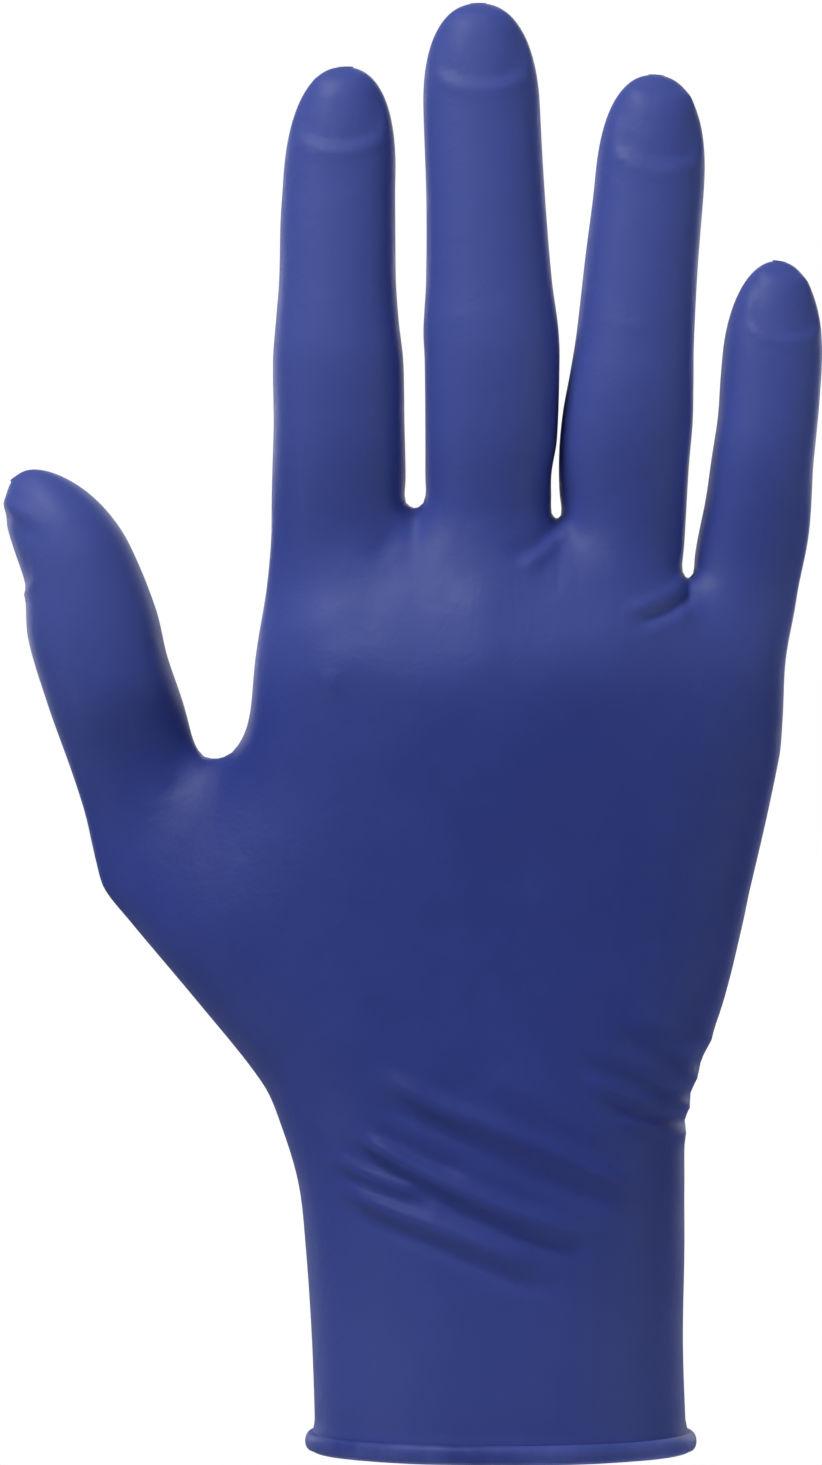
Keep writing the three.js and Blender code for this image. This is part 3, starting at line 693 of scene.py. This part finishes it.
edgeFolds = [
    (-0.6, 1.3, 0.2, [(10.8, 65.9), (18.5, 62.6), (25.1, 60.2), (31, 59.2), (38, 58.6)]),
    (0.6, 1.3, 0.2, [(12, 63), (19.5, 59.8), (25.6, 57.9), (31, 57), (38, 56.6)]),
    (-0.75, 1.2, 0.2, [(14.2, 59.2), (20.6, 57.2), (25.1, 56), (30.5, 54.8), (38, 54)]),
    (0.5, 1.3, 0.2, [(18, 56.4), (25, 54.2), (30.8, 52.6), (38, 51.6)]),
    (0.5, 1.4, 0.2, [(19.3, 73.4), (24.5, 70.6), (30, 68.8), (40, 67.6)]),
    (-0.5, 1.4, 0.2, [(18, 69.6), (25, 66.6), (31, 65), (40, 64.2)]),
    (0.4, 1.2, 0.2, [(21, 65), (27, 63), (33, 61.8), (40, 61.2)]),
    (0.5, 1.1, 0.4, [(-92, 161.5), (-82.6, 157), (-79, 154.8), (-74, 152.2)]),
    (-0.5, 1.2, 0.4, [(-92, 158.8), (-82.4, 154.5), (-79, 152.5), (-73.5, 150)]),
]
palmFolds = [
    (-0.7, 3.2, 0.2, [(-42, 110), (-30, 104), (-21, 92), (-17, 78), (-15, 66)]),
    (-0.6, 2.6, 0.2, [(-36, 122), (-18, 119), (2, 114), (22, 104)]),
    (-0.6, 2.6, 0.2, [(44, 128), (28, 127), (10, 131), (-8, 138)]),
    (-0.5, 1.5, 0.2, [(-25, 57), (-8, 55), (10, 56), (28, 59)]),
    (0.45, 1.4, 0.2, [(-24, 53), (-6, 51.5), (12, 52), (26, 54.5)]),
    (0.4, 1.5, 0.2, [(-27, 47), (-12, 46.5), (6, 44), (24, 41)]),
    (-0.4, 1.5, 0.2, [(-26, 43), (-10, 42), (8, 39), (22, 35)]),
    (-0.5, 1.4, 0.2, [(-38, 157.5), (-28, 156), (-17, 158)]),
    (-0.5, 1.4, 0.2, [(-12, 159), (-2, 157.5), (8, 158.5)]),
    (-0.5, 1.4, 0.2, [(11, 157), (20, 153.5), (29.5, 152)]),
    (-0.5, 1.4, 0.2, [(33, 150), (42, 146.5), (50, 146.5)]),
    (-0.4, 1.3, 0.2, [(-37.5, 182), (-27, 181), (-17, 182)]),
    (-0.4, 1.3, 0.2, [(-12.5, 188), (-2, 187), (8.5, 188)]),
    (-0.4, 1.3, 0.2, [(12.5, 182), (22, 180.5), (31.5, 181)]),
    (-0.4, 1.2, 0.2, [(36.5, 168), (44.5, 167), (52, 167.5)]),
    (-0.35, 1.2, 0.2, [(-36.5, 204), (-27, 203), (-18, 204)]),
    (-0.35, 1.2, 0.2, [(-12.5, 213), (-3, 212), (7, 213)]),
    (-0.35, 1.2, 0.2, [(15, 203), (24, 201.5), (33, 202)]),
    (-0.3, 1.1, 0.2, [(39, 182), (46, 181), (52, 182)]),
    (-0.4, 1.4, 0.2, [(-78, 137), (-68, 138), (-58, 141)]),
    (0.5, 1.6, 0.25, [(-46, 118), (-40, 108), (-28, 96), (-12, 88)]),
    (0.4, 1.6, 0.25, [(-48, 112), (-43, 102), (-33, 90), (-18, 80)]),
]
reliefSides = {
    "facing": (-0.12, 0.35),  # how squarely the film must face forwards or backwards
    "edgeFacing": (-0.8, -0.2),
    "edgeShare": 0.38,  # of a fold's rise is left where it goes round the edge
    "lineSteps": 5,
    "lineReach": 3.2,  # in half widths
}


def smoothLine(points, steps):
    # a curve through the points, as short straight pieces
    table = [(number, *point) for number, point in enumerate(points)]
    spots = np.arange((len(points) - 1) * steps + 1) / steps
    return np.stack([readRows(table, 1, spots), readRows(table, 2, spots)], axis=-1)


def formHeight(places, rise, span, ends, points):
    line = smoothLine(points, reliefSides["lineSteps"])
    reach = reliefSides["lineReach"] * span
    near = np.all((places > line.min(0) - reach) & (places < line.max(0) + reach), axis=1)
    height = np.zeros(len(places))
    spots = places[near]
    lengths = np.linalg.norm(np.diff(line, axis=0), axis=1)
    starts = np.concatenate([[0], np.cumsum(lengths)])
    best = np.full(len(spots), np.inf)
    along = np.zeros(len(spots))
    for i, length in enumerate(lengths):
        run = line[i + 1] - line[i]
        share = np.clip((spots - line[i]) @ run / length ** 2, 0, 1)
        distance = np.linalg.norm(spots - line[i] - share[:, None] * run, axis=1)
        closer = distance < best
        best[closer] = distance[closer]
        along[closer] = starts[i] + share[closer] * length
    along /= starts[-1]
    fade = between((0, ends), (1 - ends, 1), along) if ends else 1
    height[near] = rise * fade * bell(best, span)
    return height


# Nail forms in the film: the middle of the root, the way it faces, half its width, its length,
# the root's arc, the step down to the nail, how far its end stands up, and its lean in radians
nailColumns = ("root", "faces", "half", "length", "arc", "step", "tilt", "lean")
nails = {
    "index": ((-26.7, 216.3), (-0.05, -1), 7.0, 11.5, 2.4, 0.5, 0.55, 0.0),
    "middle": ((-3.5, 226.6), (0, -1), 7.4, 12.0, 2.2, 0.5, 0.55, 0.02),
    "ring": ((24.9, 213.4), (0.12, -1), 6.8, 11.5, 2.2, 0.55, 0.55, 0.1),
    "little": ((46.2, 185.0), (0.1, -1), 5.6, 9.6, 1.8, 0.5, 0.5, 0.12),
    "thumb": ((-77.5, 143.5), (-1, -0.5), 6.0, 11.5, 0.8, 0.26, 0.0, -0.35),
}
nailForm = {
    "facing": (0.15, 0.6),
    "nearRoot": 2,
    "arcMiddle": 0.35,
    "sides": (0.8, 1.15),  # shares of half the width
    "rootEdge": (-0.45, 0.5),  # millimetres above the root
    "endEdge": (0.55, 1.0),  # shares of the length
    "lip": 0.8,  # lip, wall and end are the rims round it, as shares of the step
    "lipPlace": -0.7,
    "lipReach": 0.9,
    "wall": 0.3,
    "wallPlace": 1.12,
    "wallReach": 0.16,
    "wallStart": (-1, 1.5),
    "wallStop": (0.5, 0.9),
    "end": 0.35,
    "endReach": 1.1,
    "tiltOver": ((0.05, 0.8), (0.7, 1.25)),
}


def nailHeight(points, normals, name, nail, form):
    facing = np.array(nail["faces"]) / np.linalg.norm(nail["faces"])
    sideways = np.array([-facing[1], facing[0]])
    rootX, rootZ = nail["root"]
    belongs = skinDigit == digitNames.index(name)
    middle = points[belongs & (np.abs(points[:, 2] - rootZ) < form["nearRoot"])].mean(0)
    axis = np.array([math.sin(nail["lean"]), math.cos(nail["lean"])])
    dx, dz = points[:, 0] - rootX, points[:, 2] - rootZ
    up = dx * axis[0] + dz * axis[1]
    aside = dx * axis[1] - dz * axis[0]
    if name == "thumb":
        middle = points[belongs & (points[:, 2] > rootZ)].mean(0)
        aside = points[:, 0] - middle[0]
    across = (aside * sideways[0] + (points[:, 1] - middle[1]) * sideways[1]) / nail["half"]
    above = up - nail["arc"] * (across ** 2 - form["arcMiddle"])
    along = above / nail["length"]
    front = ease(*form["facing"], normals[:, 0] * facing[0] + normals[:, 1] * facing[1])
    inside = 1 - ease(*form["sides"], np.abs(across))
    plate = ease(*form["rootEdge"], above) * (1 - ease(*form["endEdge"], along))
    walls = bell(np.abs(across) - form["wallPlace"], form["wallReach"]) * ease(*form["wallStart"], above)
    height = -plate * inside
    height += form["lip"] * bell(above - form["lipPlace"], form["lipReach"]) * inside
    height += form["wall"] * walls * (1 - ease(*form["wallStop"], along))
    height += form["end"] * bell(above - nail["length"], form["endReach"]) * inside
    tilt = nail["tilt"] * between(*form["tiltOver"], along) * inside
    return (nail["step"] * height + tilt) * front * belongs


# The glove's back rises to a soft crest over the knuckles
knuckleCrest = {
    "line": [(-47, 125.5), (-34, 127), (-25, 130), (-14, 128), (-4, 130.5), (7, 131), (18, 136), (32, 139),
             (48, 138)],
    "height": 3.6,
    "reachUp": 24,
    "reachDown": 22,
    "soft": 4.6,
    "stopUp": (8, 26),
    "stopDown": (20, 75),
    "left": -47,
    "right": 52,
    "sidePower": 0.8,
    "facing": (0.1, 0.7),
    "fade": 0.5,  # share by which the crest is lower on the little finger's side
    "fadeOver": (-5, 42),
}


def raiseKnuckles(points, normals, crest):
    across = points[:, 0]
    crestX, crestZ = zip(*crest["line"])
    away = points[:, 2] - np.interp(across, crestX, crestZ)
    reach = np.where(away > 0, crest["reachUp"], crest["reachDown"])
    soft = np.sqrt(away ** 2 + crest["soft"] ** 2) - crest["soft"]
    rise = np.exp(-soft / reach) * (1 - ease(*crest["stopUp"], away)) * (1 - ease(*crest["stopDown"], -away))
    share = np.clip((across - crest["left"]) / (crest["right"] - crest["left"]), 0, 1)
    rise *= np.sin(np.pi * share) ** crest["sidePower"] * ease(*crest["facing"], -normals[:, 1])
    rise *= 1 - crest["fade"] * ease(*crest["fadeOver"], across)
    points[:, 1] -= crest["height"] * rise


# The cuff flares a little just above its bead
cuffFlare = {"out": 0.6, "over": (1.6, 5.6)}

normals = cornerNormals(skin, skinQuads, skinFans)
raiseKnuckles(skin, normals, knuckleCrest)
flare = cuffFlare["out"] * (1 - ease(*cuffFlare["over"], skin[:, 2]))
skin += normals * [1, 1, 0] * flare[:, None]

normals = cornerNormals(skin, skinQuads, skinFans)
places = skin[:, [0, 2]]
onBack = ease(*reliefSides["facing"], -normals[:, 1])
onPalm = ease(*reliefSides["facing"], normals[:, 1])
onEdge = np.maximum(onBack, reliefSides["edgeShare"] * ease(*reliefSides["edgeFacing"], -normals[:, 1]))
relief = np.zeros(len(skin))
for table, side in ((backForms, onBack), (backFolds, onBack), (edgeFolds, onEdge), (palmFolds, onPalm)):
    for row in table:
        relief += formHeight(places, *row) * side
for name, row in nails.items():
    relief += nailHeight(skin, normals, name, dict(zip(nailColumns, row)), nailForm)
skin += normals * relief[:, None]
print("folds and nails worked in")

# The inner side is a net of half as many columns and rows, one wall inside the outer side
normals = cornerNormals(skin, skinQuads, skinFans)
innerQuads, innerFans = netFaces(net, 2, 2)
used = np.unique(np.concatenate([innerQuads.ravel(), innerFans.ravel()]))
innerNumber = np.full(len(skin), -1)
innerNumber[used] = len(skin) + np.arange(len(used))
innerPoints = skin[used] - normals[used] * handSizes["wall"]


def mouthRing(step):
    back = net.parts["hand"]["back"][0][::step]
    palm = net.parts["hand"]["palm"][0][::step]
    return np.concatenate([back, palm[1:-1][::-1]])


def rimFaces(outer, inner):
    # five-sided faces that join each inner edge to two outer ones
    return np.stack([inner, np.roll(inner, -1), np.roll(outer, -2)[::2], outer[1::2], outer[::2]], axis=1)


def meshObject(name, points, faces):
    mesh = bpy.data.meshes.new(name)
    mesh.from_pydata([tuple(point) for point in np.asarray(points) * 0.001], [], faces)
    mesh.validate()
    mesh.polygons.foreach_set("use_smooth", [True] * len(mesh.polygons))
    made = bpy.data.objects.new(name, mesh)
    bpy.context.scene.collection.objects.link(made)
    return made


outerMouth, innerMouth = mouthRing(1), innerNumber[mouthRing(2)]
faces = []
for group in (skinQuads, skinFans, innerNumber[innerQuads][:, ::-1], innerNumber[innerFans][:, ::-1],
              rimFaces(outerMouth, innerMouth)):
    faces += group.tolist()
gloveFilm = meshObject("glove_film", np.concatenate([skin, innerPoints]), faces)
print("film:", len(gloveFilm.data.polygons), "faces")

# Tight film looks lighter, and it is stretched most over the digits, the knuckles and the cuff's end; the
# lighter colour there is partly painted light, standing in for the light that falls on the fingers, the
# thumb, the knuckles' crest and the cuff
stretchAndPaintedLightSizes = {
    "fingers": (118, 190),
    "fingersShare": 0.75,
    "knuckles": (136, 10),
    "leftOfKnuckles": -45,
    "knucklesShare": 0.5,
    "cuff": (18, 52),
    "cuffShare": 0.35,
    "thumb": (104, 150),
    "thumbShare": 0.8,
}


def filmStretchAndPaintedLight(points, onBack, sizes):
    across, up = points[:, 0], points[:, 2]
    crest, reach = sizes["knuckles"]
    stretchAndLitShare = sizes["fingersShare"] * ease(*sizes["fingers"], up)
    stretchAndLitShare += sizes["knucklesShare"] * bell(up - crest, reach) * onBack * (across > sizes["leftOfKnuckles"])
    stretchAndLitShare += sizes["cuffShare"] * (1 - ease(*sizes["cuff"], up))
    onThumb = np.maximum(stretchAndLitShare, sizes["thumbShare"] * ease(*sizes["thumb"], up))
    return np.clip(np.where(skinDigit == 0, onThumb, stretchAndLitShare), 0, 1)


# the share is partly stretched film and partly painted light on the lit fingers, thumb, knuckles and cuff
stretchAndPaintedLight = filmStretchAndPaintedLight(skin, onBack, stretchAndPaintedLightSizes)
attribute = gloveFilm.data.attributes.new("stretchAndPaintedLight", "FLOAT", "POINT")
attribute.data.foreach_set("value", np.concatenate([stretchAndPaintedLight, stretchAndPaintedLight[used]]).astype(np.float32))

# The nitrile film: satin, deep violet-blue, with faint clouds in its colour and gloss
nitrileLook = {
    "deep": (0.021, 0.041, 0.250),
    "plain": (0.027, 0.050, 0.282),
    # light: the colour mixed in by the stretched-film attribute, partly stretched film and partly painted
    # light
    "light": (0.066, 0.100, 0.396),
    "shader": {
        "IOR": 1.48,
        "Specular IOR Level": 0.32,
        "Sheen Weight": 0.02,
        "Sheen Roughness": 0.45,
        "Sheen Tint": (0.72, 0.78, 1.0, 1.0),
        "Coat Weight": 0.03,
        "Coat Roughness": 0.32,
    },
    "clouds": {"Scale": 52.0, "Detail": 4, "Roughness": 0.6},
    "cloudEdges": (0.32, 0.68),
    "gloss": {"Scale": 119.6, "Detail": 5},
    "roughness": {"From Min": 0.3, "From Max": 0.7, "To Min": 0.56, "To Max": 0.66},
    "wave": {"Scale": 190.0, "Detail": 3, "Distortion": 0.6},
    "waveBump": {"Strength": 0.6, "Distance": 0.00034},
    "grain": {"Scale": 1300.0, "Detail": 4},
    "grainBump": {"Strength": 0.7, "Distance": 0.00007},
}
paintedLitBeadColour = (0.080, 0.113, 0.43)  # the roll is painted lighter than the film: painted light, for the light that falls on the rounded roll


def addNode(tree, kind, given=None, **settings):
    # a node with its settings, and inputs that are values or come from other nodes
    node = tree.nodes.new(kind)
    for name, value in settings.items():
        setattr(node, name, value)
    for name, value in (given or {}).items():
        if isinstance(value, bpy.types.NodeSocket):
            tree.links.new(value, node.inputs[name])
        else:
            node.inputs[name].default_value = value
    return node


def nitrileFinish(name, look, hasStretchAndLight):
    material = bpy.data.materials.new(name)
    material.use_nodes = True
    tree = material.node_tree
    shader = tree.nodes["Principled BSDF"]
    for label, value in look["shader"].items():
        shader.inputs[label].default_value = value
    place = addNode(tree, "ShaderNodeTexCoord").outputs["Object"]

    clouds = addNode(tree, "ShaderNodeTexNoise", {"Vector": place, **look["clouds"]})
    ramp = addNode(tree, "ShaderNodeValToRGB", {"Fac": clouds.outputs["Fac"]})
    colours = (look["deep"], look["plain"])
    for element, edge, colour in zip(ramp.color_ramp.elements, look["cloudEdges"], colours):
        element.position = edge
        element.color = colour + (1,)
    colour = ramp.outputs["Color"]
    # the attribute lightens the colour: partly stretched film, partly painted light
    if hasStretchAndLight:
        stretchAndLitNode = addNode(tree, "ShaderNodeAttribute", attribute_name="stretchAndPaintedLight")
        colour = addNode(tree, "ShaderNodeMix", {
            "Factor": stretchAndLitNode.outputs["Fac"], "A": colour, "B": look["light"] + (1,),
        }, data_type="RGBA").outputs["Result"]
    tree.links.new(colour, shader.inputs["Base Color"])

    gloss = addNode(tree, "ShaderNodeTexNoise", {"Vector": place, **look["gloss"]})
    spread = addNode(tree, "ShaderNodeMapRange", {"Value": gloss.outputs["Fac"], **look["roughness"]})
    tree.links.new(spread.outputs["Result"], shader.inputs["Roughness"])

    wave = addNode(tree, "ShaderNodeTexNoise", {"Vector": place, **look["wave"]})
    bump = addNode(tree, "ShaderNodeBump", {"Height": wave.outputs["Fac"], **look["waveBump"]})
    grain = addNode(tree, "ShaderNodeTexNoise", {"Vector": place, **look["grain"]})
    bump = addNode(tree, "ShaderNodeBump", {
        "Height": grain.outputs["Fac"], "Normal": bump.outputs["Normal"], **look["grainBump"]})
    tree.links.new(bump.outputs["Normal"], shader.inputs["Normal"])
    return material


nitrileFilm = nitrileFinish("nitrile_film_satin", nitrileLook, True)
# the bead's lighter colour is painted light
beadNitrile = nitrileFinish("nitrile_bead_satin", {**nitrileLook, "plain": paintedLitBeadColour}, False)
gloveFilm.data.materials.append(nitrileFilm)
print("nitrile mixed")

# The rolled bead follows the cuff's mouth. Its sizes are metres and shares.
beadSizes = {
    "Roll radius": 0.00112,
    "Flatten": 1.45,  # height over depth of the roll's section
    "Groove depth": 0.16,  # share of the radius, where the film rolls back on itself
    "Groove place": 0.2,
    "Groove width": 0.05,
    "Unevenness": 0.07,
    "Seed": 3.0,
}
beadPath = {
    "height": 0.00162,
    "points": 180,
    "sides": 30,
    "noise": {"Scale": 90.0, "Detail": 2.0},
}


def mouthPath(sizes):
    # evenly spaced points along the film's lower edge
    ring = skin[outerMouth]
    step = np.linalg.norm(np.roll(ring, -1, axis=0) - ring, axis=1)
    along = np.concatenate([[0], np.cumsum(step)])
    closed = np.vstack([ring, ring[:1]]) * 0.001
    spots = np.linspace(0, along[-1], sizes["points"], endpoint=False)
    curve = bpy.data.curves.new("cuff_mouth", "CURVE")
    curve.dimensions = "3D"
    spline = curve.splines.new("POLY")
    spline.points.add(sizes["points"] - 1)
    spline.use_cyclic_u = True
    for point, spot in zip(spline.points, spots):
        x, y = np.interp(spot, along, closed[:, 0]), np.interp(spot, along, closed[:, 1])
        point.co = (x, y, sizes["height"], 1)
    made = bpy.data.objects.new("cuff_mouth", curve)
    bpy.context.scene.collection.objects.link(made)
    return made


def beadTree(sizes, path, material):
    tree = bpy.data.node_groups.new("rolled_bead", "GeometryNodeTree")
    face = tree.interface
    face.new_socket("Geometry", in_out="INPUT", socket_type="NodeSocketGeometry")
    for label, value in sizes.items():
        face.new_socket(label, in_out="INPUT", socket_type="NodeSocketFloat").default_value = value
    face.new_socket("Geometry", in_out="OUTPUT", socket_type="NodeSocketGeometry")
    given = addNode(tree, "NodeGroupInput").outputs

    def calc(kind, a, b):
        return addNode(tree, "ShaderNodeMath", {0: a, 1: b}, operation=kind).outputs[0]

    # the roll's section: a circle with a groove where the film's edge meets it
    circle = addNode(tree, "GeometryNodeCurvePrimitiveCircle", {
        "Resolution": path["sides"], "Radius": given["Roll radius"]})
    along = addNode(tree, "GeometryNodeSplineParameter").outputs["Factor"]
    away = calc("DIVIDE", calc("SUBTRACT", along, given["Groove place"]), given["Groove width"])
    groove = calc("POWER", math.e, calc("MULTIPLY", calc("MULTIPLY", away, away), -1.0))
    place = addNode(tree, "GeometryNodeInputPosition").outputs[0]
    left = calc("SUBTRACT", 1.0, calc("MULTIPLY", given["Groove depth"], groove))
    inward = addNode(tree, "ShaderNodeVectorMath", {0: place, "Scale": left}, operation="SCALE")
    tall = addNode(tree, "ShaderNodeCombineXYZ", {"X": 1.0, "Y": given["Flatten"], "Z": 1.0})
    stretched = addNode(
        tree, "ShaderNodeVectorMath", {0: inward.outputs[0], 1: tall.outputs[0]}, operation="MULTIPLY")
    section = addNode(tree, "GeometryNodeSetPosition", {
        "Geometry": circle.outputs["Curve"], "Position": stretched.outputs[0]})

    # the roll is a little thicker in some places than in others
    noise = addNode(tree, "ShaderNodeTexNoise", {"W": given["Seed"], **path["noise"]}, noise_dimensions="4D")
    uneven = calc("MULTIPLY", given["Unevenness"], 2.0)
    thick = calc("ADD", 1.0, calc("MULTIPLY", calc("SUBTRACT", noise.outputs["Fac"], 0.5), uneven))
    sized = addNode(tree, "GeometryNodeSetCurveRadius", {"Curve": given["Geometry"], "Radius": thick})
    upright = addNode(tree, "GeometryNodeSetCurveNormal", {"Curve": sized.outputs["Curve"]}, mode="Z_UP")
    sweep = addNode(tree, "GeometryNodeCurveToMesh", {
        "Curve": upright.outputs["Curve"], "Profile Curve": section.outputs["Geometry"]})
    if "Scale" in sweep.inputs:
        tree.links.new(addNode(tree, "GeometryNodeInputRadius").outputs[0], sweep.inputs["Scale"])
    soft = addNode(tree, "GeometryNodeSetShadeSmooth", {"Geometry": sweep.outputs["Mesh"]})
    whole = addNode(tree, "GeometryNodeRealizeInstances", {"Geometry": soft.outputs["Geometry"]})
    finish = addNode(tree, "GeometryNodeSetMaterial", {
        "Geometry": whole.outputs["Geometry"], "Material": material})
    addNode(tree, "NodeGroupOutput", {"Geometry": finish.outputs["Geometry"]})
    return tree


def rollBead(sizes, path, material):
    mouth = mouthPath(path)
    tree = beadTree(sizes, path, material)
    modifier = mouth.modifiers.new("rolled_bead", "NODES")
    modifier.node_group = tree
    for item in tree.interface.items_tree:
        if item.in_out == "INPUT" and item.name in sizes:
            modifier[item.identifier] = sizes[item.name]
    evaluated = mouth.evaluated_get(bpy.context.evaluated_depsgraph_get())
    mesh = bpy.data.meshes.new_from_object(evaluated)
    mesh.name = "rolled_bead"
    mouth.modifiers.remove(modifier)
    bpy.data.objects.remove(mouth)
    bead = bpy.data.objects.new("rolled_bead", mesh)
    bpy.context.scene.collection.objects.link(bead)
    return bead


rolledBead = rollBead(beadSizes, beadPath, beadNitrile)
print("bead:", len(rolledBead.data.polygons), "faces")

for piece in (gloveFilm, rolledBead):
    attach(piece, "root")
    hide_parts("glove")

# Pale floor well below the glove, white surroundings and soft lamps
studio = {
    "floorHeight": -0.45,
    "floorRadius": 3.2,
    "floorSides": 96,
    "floorColour": (0.9, 0.9, 0.9, 1),
    "floorRoughness": 0.9,
    "floorGlow": 0.55,  # seen straight on, the floor is as pale as the backdrop
    "front": 0.03,  # how strongly the surroundings light the glove from its front and its back
    "back": 0.3,
    "frontToBack": (-0.5, 0.8),
    "seen": 1.0,
}


def floorDisc(sizes):
    turns, high, wide = sizes["floorSides"], sizes["floorHeight"] * 1000, sizes["floorRadius"] * 1000
    angles = [2 * math.pi * i / turns for i in range(turns)]
    points = [(0, 0, high)] + [(wide * math.cos(angle), wide * math.sin(angle), high) for angle in angles]
    disc = meshObject("studio_floor", points, [(0, 1 + i, 1 + (i + 1) % turns) for i in range(turns)])
    material = bpy.data.materials.new("pale_floor")
    material.use_nodes = True
    tree = material.node_tree
    shader = tree.nodes["Principled BSDF"]
    shader.inputs["Base Color"].default_value = sizes["floorColour"]
    shader.inputs["Roughness"].default_value = sizes["floorRoughness"]
    shader.inputs["Emission Color"].default_value = (1, 1, 1, 1)
    seen = addNode(tree, "ShaderNodeLightPath").outputs["Is Camera Ray"]
    glow = addNode(tree, "ShaderNodeMath", {0: seen, 1: sizes["floorGlow"]}, operation="MULTIPLY")
    tree.links.new(glow.outputs[0], shader.inputs["Emission Strength"])
    # from below, the floor lets the view through to the underside of the glove
    oneWay = addNode(tree, "ShaderNodeMixShader", {
        0: addNode(tree, "ShaderNodeNewGeometry").outputs["Backfacing"], 1: shader.outputs["BSDF"],
        2: addNode(tree, "ShaderNodeBsdfTransparent").outputs["BSDF"]})
    tree.links.new(oneWay.outputs[0], tree.nodes["Material Output"].inputs["Surface"])
    disc.data.materials.append(material)


def studioWorld(sizes):
    world = bpy.data.worlds.new("studio_white")
    bpy.context.scene.world = world
    world.use_nodes = True
    tree = world.node_tree
    tree.nodes.clear()
    way = addNode(tree, "ShaderNodeTexCoord").outputs["Generated"]
    split = addNode(tree, "ShaderNodeSeparateXYZ", {0: way})
    fall = addNode(tree, "ShaderNodeMapRange", {
        "Value": split.outputs["Y"],
        "From Min": sizes["frontToBack"][0], "From Max": sizes["frontToBack"][1],
        "To Min": sizes["front"], "To Max": sizes["back"],
    }, interpolation_type="SMOOTHSTEP")
    ray = addNode(tree, "ShaderNodeLightPath").outputs["Is Camera Ray"]
    pick = addNode(tree, "ShaderNodeMix", {"Factor": ray, "A": fall.outputs["Result"], "B": sizes["seen"]})
    ground = addNode(tree, "ShaderNodeBackground", {
        "Color": (1, 1, 1, 1), "Strength": pick.outputs["Result"]})
    addNode(tree, "ShaderNodeOutputWorld", {"Surface": ground.outputs[0]})


# Each lamp's place, aim, size and watts
lamps = {
    "key_softbox": ((-0.54, -0.55, 1.2), (-0.02, 0, 0.12), 0.5, 14.0),
    "low_softbox": ((-0.7, -0.45, -0.1), (-0.01, 0, 0.02), 0.4, 0.8),
    "fill_softbox": ((0.95, -0.45, 0.1), (0, 0, 0.1), 0.8, 2.4),
    "left_strip": ((-0.55, 0.75, 0.2), (0, 0, 0.13), 0.4, 1.6),
    "right_strip": ((0.55, 0.8, 0.2), (0, 0, 0.13), 0.4, 1.4),
    "back_softbox": ((0.2, 0.95, 0.55), (0, 0, 0.12), 0.6, 2.2),
}


def hangLamp(name, place, aim, size, watts):
    data = bpy.data.lights.new(name, "AREA")
    data.shape = "DISK"
    data.size = size
    data.energy = watts
    lamp = bpy.data.objects.new(name, data)
    lamp.location = place
    lamp.rotation_euler = (Vector(aim) - Vector(place)).to_track_quat("-Z", "Y").to_euler()
    bpy.context.scene.collection.objects.link(lamp)


floorDisc(studio)
studioWorld(studio)
for name, row in lamps.items():
    hangLamp(name, *row)
bpy.context.scene.view_settings.view_transform = "Standard"
print("studio lit")
